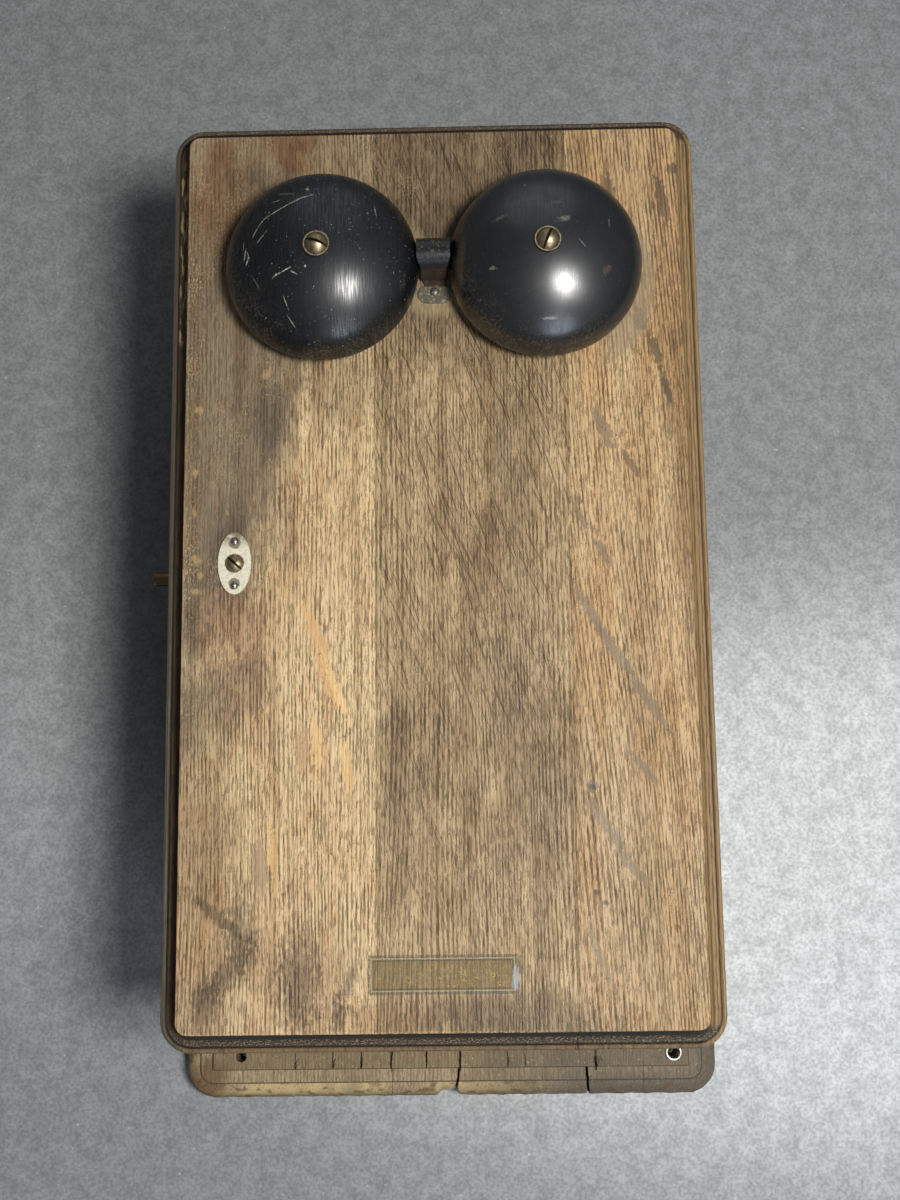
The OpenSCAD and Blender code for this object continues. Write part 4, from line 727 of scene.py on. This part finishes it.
chalk = wood.noise((0.6, 4, 1.1), detail=4, seed=19)
crust = wood.noise((11, 20, 20), detail=3, seed=23).rise(0.5, 0.62) + x.fall(-96, -88) * 0.7
wood.coat(chalk.rise(0.52, 0.64) * stained.larger(z.rise(140, 160)) * x.fall(-10, 20) * crust,
          "b39e74", 0.5)
# the transfer: worn gold and grey border lines on a slightly darker ground
panel_x, panel_z = (x - 0.5).size(), (z + 156.3).size()
frame_edge = (panel_x - 27.3).larger(panel_z - 6.6)
worn = wood.noise((0.6, 5, 0.5), detail=4, seed=21)
wood.stain(frame_edge.fall(-0.3, 0.1), "d6d0ba", 0.9)
wood.coat(frame_edge.fall(-0.9, -0.5) * (pepper * 0.9 + 0.35), "72623f", 0.9)
wood.coat(frame_edge.within(-0.2, 0.5, 0.2) * worn.rise(0.34, 0.5), "4a4a40", 0.7)
wood.coat(frame_edge.within(-1.6, -1.3, 0.15), "463d2c", 0.7)
wood.coat(frame_edge.within(-0.9, -0.6, 0.15) * worn.rise(0.3, 0.5), "a29c80", 0.7)
wood.coat(wood.spot(27.4, -157.5, 2.4, 9.0, 0, 0.5, tear * 2), "a9aeb0", 0.7)
gilt = frame_edge.fall(-2.2, -1.8) * worn.rise(0.52, 0.62)
gilt = gilt * wood.noise((3.4, 5, 2.6), detail=2, seed=27).rise(0.42, 0.6)
wood.coat(gilt * x.slope(-30, 25, 0.4, 1.0) * z.slope(-152, -160, 0.5, 1.0), "c8a552", 0.8)
# arris, cove and bead
rub = wood.noise((1.6, 2.0, 8.0), detail=4, seed=31)
rub_x = wood.noise((0.9, 2.0, 0.36), detail=5, seed=33)
on_left, on_right = x.fall(-101, -97), x.rise(96, 100)
on_foot, on_head = z.fall(-178.5, -175.5), z.rise(175.5, 178.5)
cove = inward.fall(7.3, 8.0)
wood.coat(cove, "4c3c2a", 0.88)
wood.coat(cove * on_left * rub.rise(0.4, 0.6), "32281c", 0.6)
wood.coat(inward.within(2.6, 6.4, 0.8) * on_left * rub.rise(0.5, 0.6) * z.within(96, 168, 6),
          "c4b284", 0.85)
wood.coat(cove * on_right, "a4865c", 0.7)
wood.coat(cove * on_right * (x + rub * 2).wave(1.7).rise(0.4, 0.9), "51402d", 0.75)
wood.coat(inward.within(2.4, 7.6, 0.3) * on_foot, "2e2c29", 0.93)
wood.coat(inward.within(2.4, 4.6, 0.6) * on_foot * rub_x.rise(0.52, 0.62), "a08764", 0.7)
wood.coat(inward.within(2.4, 7.6, 0.3) * on_head, "2e2a22", 0.85)
wood.coat(cove * on_head * rub_x.rise(0.6, 0.66), "8f7a58", 0.7)
wood.coat(inward.within(0.0, 2.0, 0.3) * rub.rise(0.3, 0.6), "7d6848", 0.6)
wood.coat(inward.fall(2.0, 2.4) * on_left, "3c3529", 0.8)
wood.coat(inward.fall(0.5, 0.9) * on_left, "6b6a60", 0.5)
wood.coat(inward.fall(2.0, 2.4) * on_head * rub_x.fall(0.5, 0.64), "39322a", 0.85)
wood.coat(inward.within(4.4, 6.0, 0.6) * on_left * rub.fall(0.44, 0.56), "6b452f", 0.6)
wood.coat(inward.within(7.5, 8.3, 0.4) * on_left * z.fall(20, 60) * rub.rise(0.42, 0.56),
          "d9a878", 0.9)
wood.coat(inward.within(7.5, 8.3, 0.4) * on_foot * x.fall(20, 60) * rub_x.rise(0.45, 0.6),
          "d9b484", 0.8)
wood.coat(inward.within(7.5, 8.5, 0.6) * on_left * z.rise(60, 90) * rub.rise(0.56, 0.66),
          "c3ae7b", 0.8)
# painted shade: a near-black line in the groove between the bead and the cove, fainter on the right
wood.coat(inward.within(2.0, 2.6, 0.2) * (on_right * -0.6 + 1), "1d1710", 0.8)
# the inner face, which has never been stained
inside = wood.y.rise(-138.6, -137.4)
wood.coat(inside, "a88c62")
wood.coat(inside * ground.rise(0.4, 0.65), "94784f", 0.7)
wood.stain(inside * streaks, "c8bca8", 0.7)
wood.stain(inside * lines.larger(pores), "a09680", 0.8)
wood.stain(inside * inward.fall(3, 30) * cloud.rise(-0.2, 0.4), "a89c90", 0.5)
wood.scuff((20, 20, 30), 0.4, 0.65, 0.6, detail=3)
wood.polish(lines, 0.65)
wood.lift(lines + pores + slant, -0.06)
wood.lift(seam.size().fall(0.1, 0.35) + (x + 24).size().fall(0.1, 0.3), -0.1)
wood.lay_on("door_panel")

# ---------- ringer ----------
# The clapper's ball and rod are brass, and ride on the iron armature between the two coils.
clapper = Finish("clapper_brass", "a59064", 0.32, metal=1.0)
clapper.dapple(2, 4, 0.45, 0.7, "6a5330", 0.6)
clapper.scuff(1.5, 0.4, 0.6, 0.45)
clapper.lay_on("clapper_rod", "clapper_ball")

# ---------- clapper hood ----------
# A bent strip of sheet metal in black enamel. Its lobed foot is worn to a dusty grey metal and
# is held by one small screw.
hood = Finish("hood_enamel", "17181a", 0.3)
dusty = hood.noise(1.2, detail=3)
hood.coat(dusty.rise(0.58, 0.68) * hood.z.rise(117, 124), "7a6444", 0.7)
hood.coat(hood.z.within(111.0, 113.6, 0.6), "3c2c1c", 0.7)
hood.coat(hood.z.fall(110.6, 111.8), "625f50", 0.85)
hood.coat(hood.z.fall(110.6, 111.8) * dusty.rise(0.5, 0.65), "958d72", 0.6)
hood.polish(dusty.rise(0.5, 0.65), 0.6)
hood.lay_on("hood")
foot_screw = Finish("foot_screw", "8c897c", 0.45, metal=0.8)
foot_screw.dapple(0.8, 3, 0.45, 0.6, "55503f", 0.8)
foot_screw.lay_on("hood_screw")

# ---------- gongs ----------
# Two pressed brass gongs, japanned black and rubbed to a soft shine. The left one is scratched
# pale along its upper left side, and brown dust lies on the lower left of both rims.
left_gong_x, right_gong_x, gong_z = -43.6, 44.4, 117.0


def gong(name, at_x, finish):
    """A revolved shell: a short skirt, a shoulder arc of 16 mm that runs smoothly into a crown arc
    of 50.5 mm, and the same curves 1.8 mm further in for the inner face. The rim is rounded, and a
    hole of 2 mm radius is left at the crown for the post's thread."""
    turn, hole = np.radians(50.2), 0.0397
    shoulder_at, shoulder_up, crown_more, crown_down = 22.1, 0.5, 34.53, 26.03
    lip_at, lip_half, rim_y = 37.2, 0.9, -156.3
    low, high = np.linspace(0, turn, 26), np.linspace(turn, np.pi / 2 - hole, 40)[1:]

    def curve(s):
        crown = s + crown_more
        return np.stack((np.concatenate((shoulder_at + s * np.cos(low), crown * np.cos(high))),
                         np.concatenate((shoulder_up + s * np.sin(low),
                                         crown * np.sin(high) - crown_down))))
    lip = np.linspace(np.pi, 2 * np.pi, 9)
    rim = np.stack((lip_at + lip_half * np.cos(lip), lip_half + lip_half * np.sin(lip)))
    outer, inner = curve(16.0), curve(14.2)[:, ::-1]
    radius, height = np.concatenate((outer[:, 2:], inner[:, :-2], rim), axis=1)[:, :, None]
    around = np.linspace(0, 2 * np.pi, 144, endpoint=False)
    grid = np.stack((at_x + radius * np.cos(around), rim_y - height + 0 * around,
                     gong_z + radius * np.sin(around)), axis=2)
    shell = skin(name + "_shell", grid, joined=True)
    smooth(shell, 50)
    finish.lay_on(name + "_shell")
    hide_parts(name)
    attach(shell, "door")


def gong_finish(name, at_x, rough, worn, index, marks):
    """Black japan under a brushed clear coat of this roughness and refractive index, which is worn
    to a share between the strokes. Each pale mark is a place from the gong's middle, a width, a
    height, a turn and a colour."""
    black = Finish(name, "05070a", 0.5, specular=0.25)
    from_x, from_z = black.x - at_x, black.z - gong_z
    far = from_x.reach(from_z)
    fine = black.noise((0.45, 30, 12), detail=3)
    cloud = black.noise(9, detail=4, seed=2)
    dust = black.noise(0.9, detail=4, seed=3)
    low_left = (from_x * -0.8 - from_z * 0.6) * (1 / 38.1)
    brushed = black.noise((0.35, 20, 7), detail=4, seed=4)
    shine = brushed.slope(0.3, 0.62, 1.0, worn) * cloud.slope(0.35, 0.6, 1.0, 0.75)
    black.shader.inputs["Coat IOR"].default_value = index
    black.tree.links.new(shine.socket, black.shader.inputs["Coat Weight"])
    black.tree.links.new((brushed * 0.16 + rough).socket, black.shader.inputs["Coat Roughness"])
    black.coat(cloud.rise(0.45, 0.75), "15181c", 0.7)
    # painted light and shade: the dome a little lighter and bluer towards its right and middle, and
    # darker at its edge
    black.coat((from_x * 0.7 + from_z * 0.3).slope(-20, 20, 0.2, 1.0) * far.fall(24, 36),
               "14181e", 0.85)
    black.coat(dust.rise(0.46, 0.72) * low_left.rise(0.55, 1.0) * cloud.rise(0.35, 0.6),
               "4f4332", 0.6)
    black.coat(dust.rise(0.46, 0.64) * far.rise(29, 37) * cloud.rise(0.36, 0.56)
               * low_left.rise(-0.4, 0.3), "4c4336", 0.65)
    black.coat(dust.rise(0.7, 0.74), "6d6c64", 0.4)
    for mark_x, mark_z, wide, high, turn, code in marks:
        mark = black.spot(at_x + mark_x, gong_z + mark_z, wide, high, turn, 0.5, (dust - 0.5) * 2.9)
        black.coat(mark, code, 0.7)
    black.polish(fine.rise(0.4, 0.62), 0.5)
    black.polish(dust.rise(0.5, 0.7) * low_left.rise(0.3, 1.0), 0.6)
    black.lift(fine, 0.012)
    return black


gong("left_gong", left_gong_x, gong_finish("left_gong_japan", left_gong_x, 0.2, 0.26, 1.65, (
    (-21.7, 12.1, 0.35, 5, 40, "b9b8a8"), (-18.9, 14.2, 0.3, 4, 58, "a9a898"),
    (-14.5, 16.6, 0.4, 6, 62, "b4b3a4"), (-9.6, 19.2, 0.3, 5, 66, "b4b3a4"),
    (-5.4, 21.2, 0.4, 6, 74, "b9b8a8"), (-16.0, 21.0, 0.3, 4, 80, "8f8e80"),
    (-21.5, 5.4, 0.3, 5, 42, "a9a898"), (-24.4, 8.0, 0.4, 4, 30, "a9a898"),
    (-28.5, -0.2, 0.5, 4, 10, "b9b8a8"), (-27.6, -3.4, 0.5, 3, 20, "b9b8a8"),
    (-27.0, -1.2, 0.3, 4, -15, "a9a898"), (-29.2, 3.0, 0.3, 4, 5, "8f8e80"),
    (-15.6, -10.6, 0.7, 2.4, 70, "c4c3b5"), (-12.0, -9.2, 0.4, 3.5, 66, "c4c3b5"),
    (-8.6, -10.6, 0.4, 2.6, 120, "b4b3a4"), (-4.3, -8.4, 0.8, 0.8, 0, "d0cfc4"),
    (-12.3, -20.7, 0.3, 5, -20, "a9a898"), (-10.4, -27.5, 0.35, 5, -34, "a9a898"),
    (-24.0, -12.0, 0.3, 6, -30, "77766b"), (-4.2, 25.4, 1.2, 1.4, 0, "a9a898"),
    (-12.5, 24.0, 0.3, 5, 100, "8f8e80"), (22.0, 16.0, 0.3, 4, -10, "8f8e80"),
    # painted sheen: the last mark is a slightly lighter patch where the highlight falls, low on the
    # right
    (14.0, -14.5, 5.0, 12.0, 10, "191c20"))))
gong("right_gong", right_gong_x, gong_finish("right_gong_japan", right_gong_x, 0.2, 0.75, 1.8, (
    (6.7, 8.8, 4.0, 1.8, -10, "6f705f"), (-17.9, 10.9, 4.5, 1.4, -20, "4c4e44"),
    (3.9, 16.1, 4.0, 1.4, -5, "3c3e38"), (13.3, -1.1, 0.3, 4, -40, "7d7c70"),
    (-20.9, -8.9, 2.5, 1.2, 0, "6a6b5f"), (0.5, -28.2, 5.0, 0.9, 0, "7a7b76"),
    (22.5, -10.0, 2.0, 4.0, 40, "4a3a2b"), (-8.0, 25.5, 0.6, 1.4, 50, "77766b"),
    (-34.0, -8.0, 3.0, 26, 6, "4a3e30"), (24.0, 9.0, 0.5, 3.0, 0, "6a6b5f"))))

# ---------- gong posts, washers and screws ----------
# Brass posts and slotted brass screws with a low dome, bright on their crowns. The washer under
# each shows as a pale ring with a dark rim.
screw_brass = Finish("screw_brass", "a8997c", 0.4, metal=1.0)
screw_brass.dapple(1.2, 4, 0.48, 0.66, "6d5635", 0.7)
# painted shade: the slot of each screw, the latch screw's too, darkened to near black
for slot_x, slot_z, long, turn in ((left_gong_x, gong_z, 10.0, 20),
                                   (right_gong_x, gong_z, 10.0, -67), (latch_x, 0.0, 8.0, 42)):
    screw_brass.coat(screw_brass.spot(slot_x, slot_z, long, 1.15, turn, 0.15)
                     * screw_brass.y.fall(-150, -149), "1d160e", 0.92)
screw_brass.scuff(0.8, 0.4, 0.6, 0.42)
screw_brass.lay_on("gong_screws", "gong_posts", "latch_screw", "latch_cam")
ring = Finish("washer_ring", "a3987d", 0.5, metal=0.6)
ring.dapple(1, 3, 0.5, 0.62, "6b5f48", 0.7)
aside, above = (ring.x - 0.4).size() - 44, ring.z - gong_z
from_screw = aside.reach(above)
ring.coat(from_screw.rise(4.85, 5.05), "14130f", 0.9)
ring.lay_on("gong_washers")

# ---------- latch plate ----------
# A nickel-plated oval on two round-headed pins, with brown dirt on its upper end.
nickel = Finish("nickel_plate", "efe8d2", 0.32, metal=0.45)
dirt = nickel.noise((1.6, 3, 1.6), detail=5)
nickel.coat(dirt.rise(0.35, 0.55) * nickel.z.rise(5.0, 11.5), "5c4529", 0.85)
nickel.coat(dirt.rise(0.55, 0.66), "b3a37c", 0.5)
for pin_z in (8.0, -8.0):
    around = nickel.spot(latch_x, pin_z, 4.6, 4.6, 0, 0.12, (dirt - 0.5) * 0.6)
    nickel.coat(around, "5f5340", 0.75)
nickel.coat(nickel.spot(latch_x, 0, 7.4, 7.4, 0, 0.08, (dirt - 0.5) * 0.4), "4d3f2c", 0.8)
nickel.polish(dirt.rise(0.4, 0.6), 0.5)
nickel.lay_on("latch_plate")
pins = Finish("pin_nickel", "b5b3aa", 0.25, metal=1.0)
pins.dapple(0.8, 3, 0.5, 0.65, "4b4438", 0.8)
pins.lay_on("latch_plate_pins")

# ---------- floor and light ----------
# A speckled grey floor just behind the box, paler at the lower right under a painted pool of light,
# and with a painted paler patch to the left of the box. One soft window-like lamp low on the right,
# two dim sky lamps and a lamp behind. The floor is open from its far side, and for light that
# reaches the box's back.
floor_gap, floor_half = 0.0006, 3
floor_mesh = bpy.data.meshes.new("floor")
square = np.array(((-1, 0, -1), (1, 0, -1), (1, 0, 1), (-1, 0, 1)))
corners = square * floor_half + (0, floor_gap, 0)
floor_mesh.from_pydata(corners.tolist(), [], [(0, 1, 2, 3)])
floor = put("floor", floor_mesh)
slab = Finish("floor_grey", "979a9b", 0.7)
# painted pool of light: the floor paler towards the lower right
slab.coat(slab.spot(230, -130, 480, 230, soft=1.0).rise(0.0, 0.8), "e1e4e5")
# painted light: a paler patch on the floor left of the box, lifting the shadow there
slab.coat(slab.spot(-200, -60, 180, 180, soft=1.0), "e1e4e5", 0.2)
slab.stain(slab.noise(9, detail=3).rise(0.3, 0.7), "d8d8d8", 0.6)
slab.stain(slab.noise(1.3, detail=2).rise(0.3, 0.72), "b8b8b8", 0.6)
slab.dapple(2.2, 2, 0.68, 0.76, "d9dbdc", 0.5, seed=3.0)
see_through = slab.tree.nodes.new("ShaderNodeBsdfTransparent")
side = slab.tree.nodes.new("ShaderNodeNewGeometry")
either = slab.tree.nodes.new("ShaderNodeMixShader")
path = slab.tree.nodes.new("ShaderNodeLightPath")
close = Field(slab.tree, path.outputs["Ray Length"]).fall(2 * floor_gap, 0.0014)
open_side = Field(slab.tree, side.outputs["Backfacing"]).larger(close)
slab.tree.links.new(open_side.socket, either.inputs[0])
slab.tree.links.new(slab.shader.outputs[0], either.inputs[1])
slab.tree.links.new(see_through.outputs[0], either.inputs[2])
slab.tree.links.new(either.outputs[0], slab.tree.nodes["Material Output"].inputs[0])
slab.lay_on("floor")
door_middle = Vector((0.0, -0.15, 0.0))


def lamp(name, at, power, size, colour):
    """A round soft lamp that points at the middle of the door."""
    data = bpy.data.lights.new(name, "AREA")
    data.energy, data.size, data.color, data.shape = power, size, colour, "DISK"
    piece = put(name, data)
    piece.location = at
    way = door_middle - piece.location
    piece.rotation_euler = way.to_track_quat("-Z", "Y").to_euler()


lamp("window", (0.36, -1.10, -0.17), 12.0, 0.28, (1.0, 0.985, 0.95))
lamp("low_sky", (0.28, -0.75, -0.85), 2.7, 0.5, (0.78, 0.86, 1.0))
lamp("high_sky", (0.0, -0.65, 0.95), 0.9, 0.9, (0.88, 0.94, 1.0))
lamp("behind", (-0.35, 1.25, 0.45), 14.0, 0.6, (1.0, 0.99, 0.97))
sky = bpy.data.worlds.new("sky")
sky.use_nodes = True
path = sky.node_tree.nodes.new("ShaderNodeLightPath")
seen = Field(sky.node_tree, path.outputs["Is Camera Ray"]) * 0.36
shown = Field(sky.node_tree, path.outputs["Is Glossy Ray"]) * 0.09 + seen + 0.05
sky.node_tree.links.new(shown.socket, sky.node_tree.nodes["Background"].inputs[1])
sky.node_tree.nodes["Background"].inputs[0].default_value = (0.95, 0.97, 1.0, 1.0)
bpy.context.scene.world = sky
bpy.context.scene.view_settings.view_transform = "Standard"
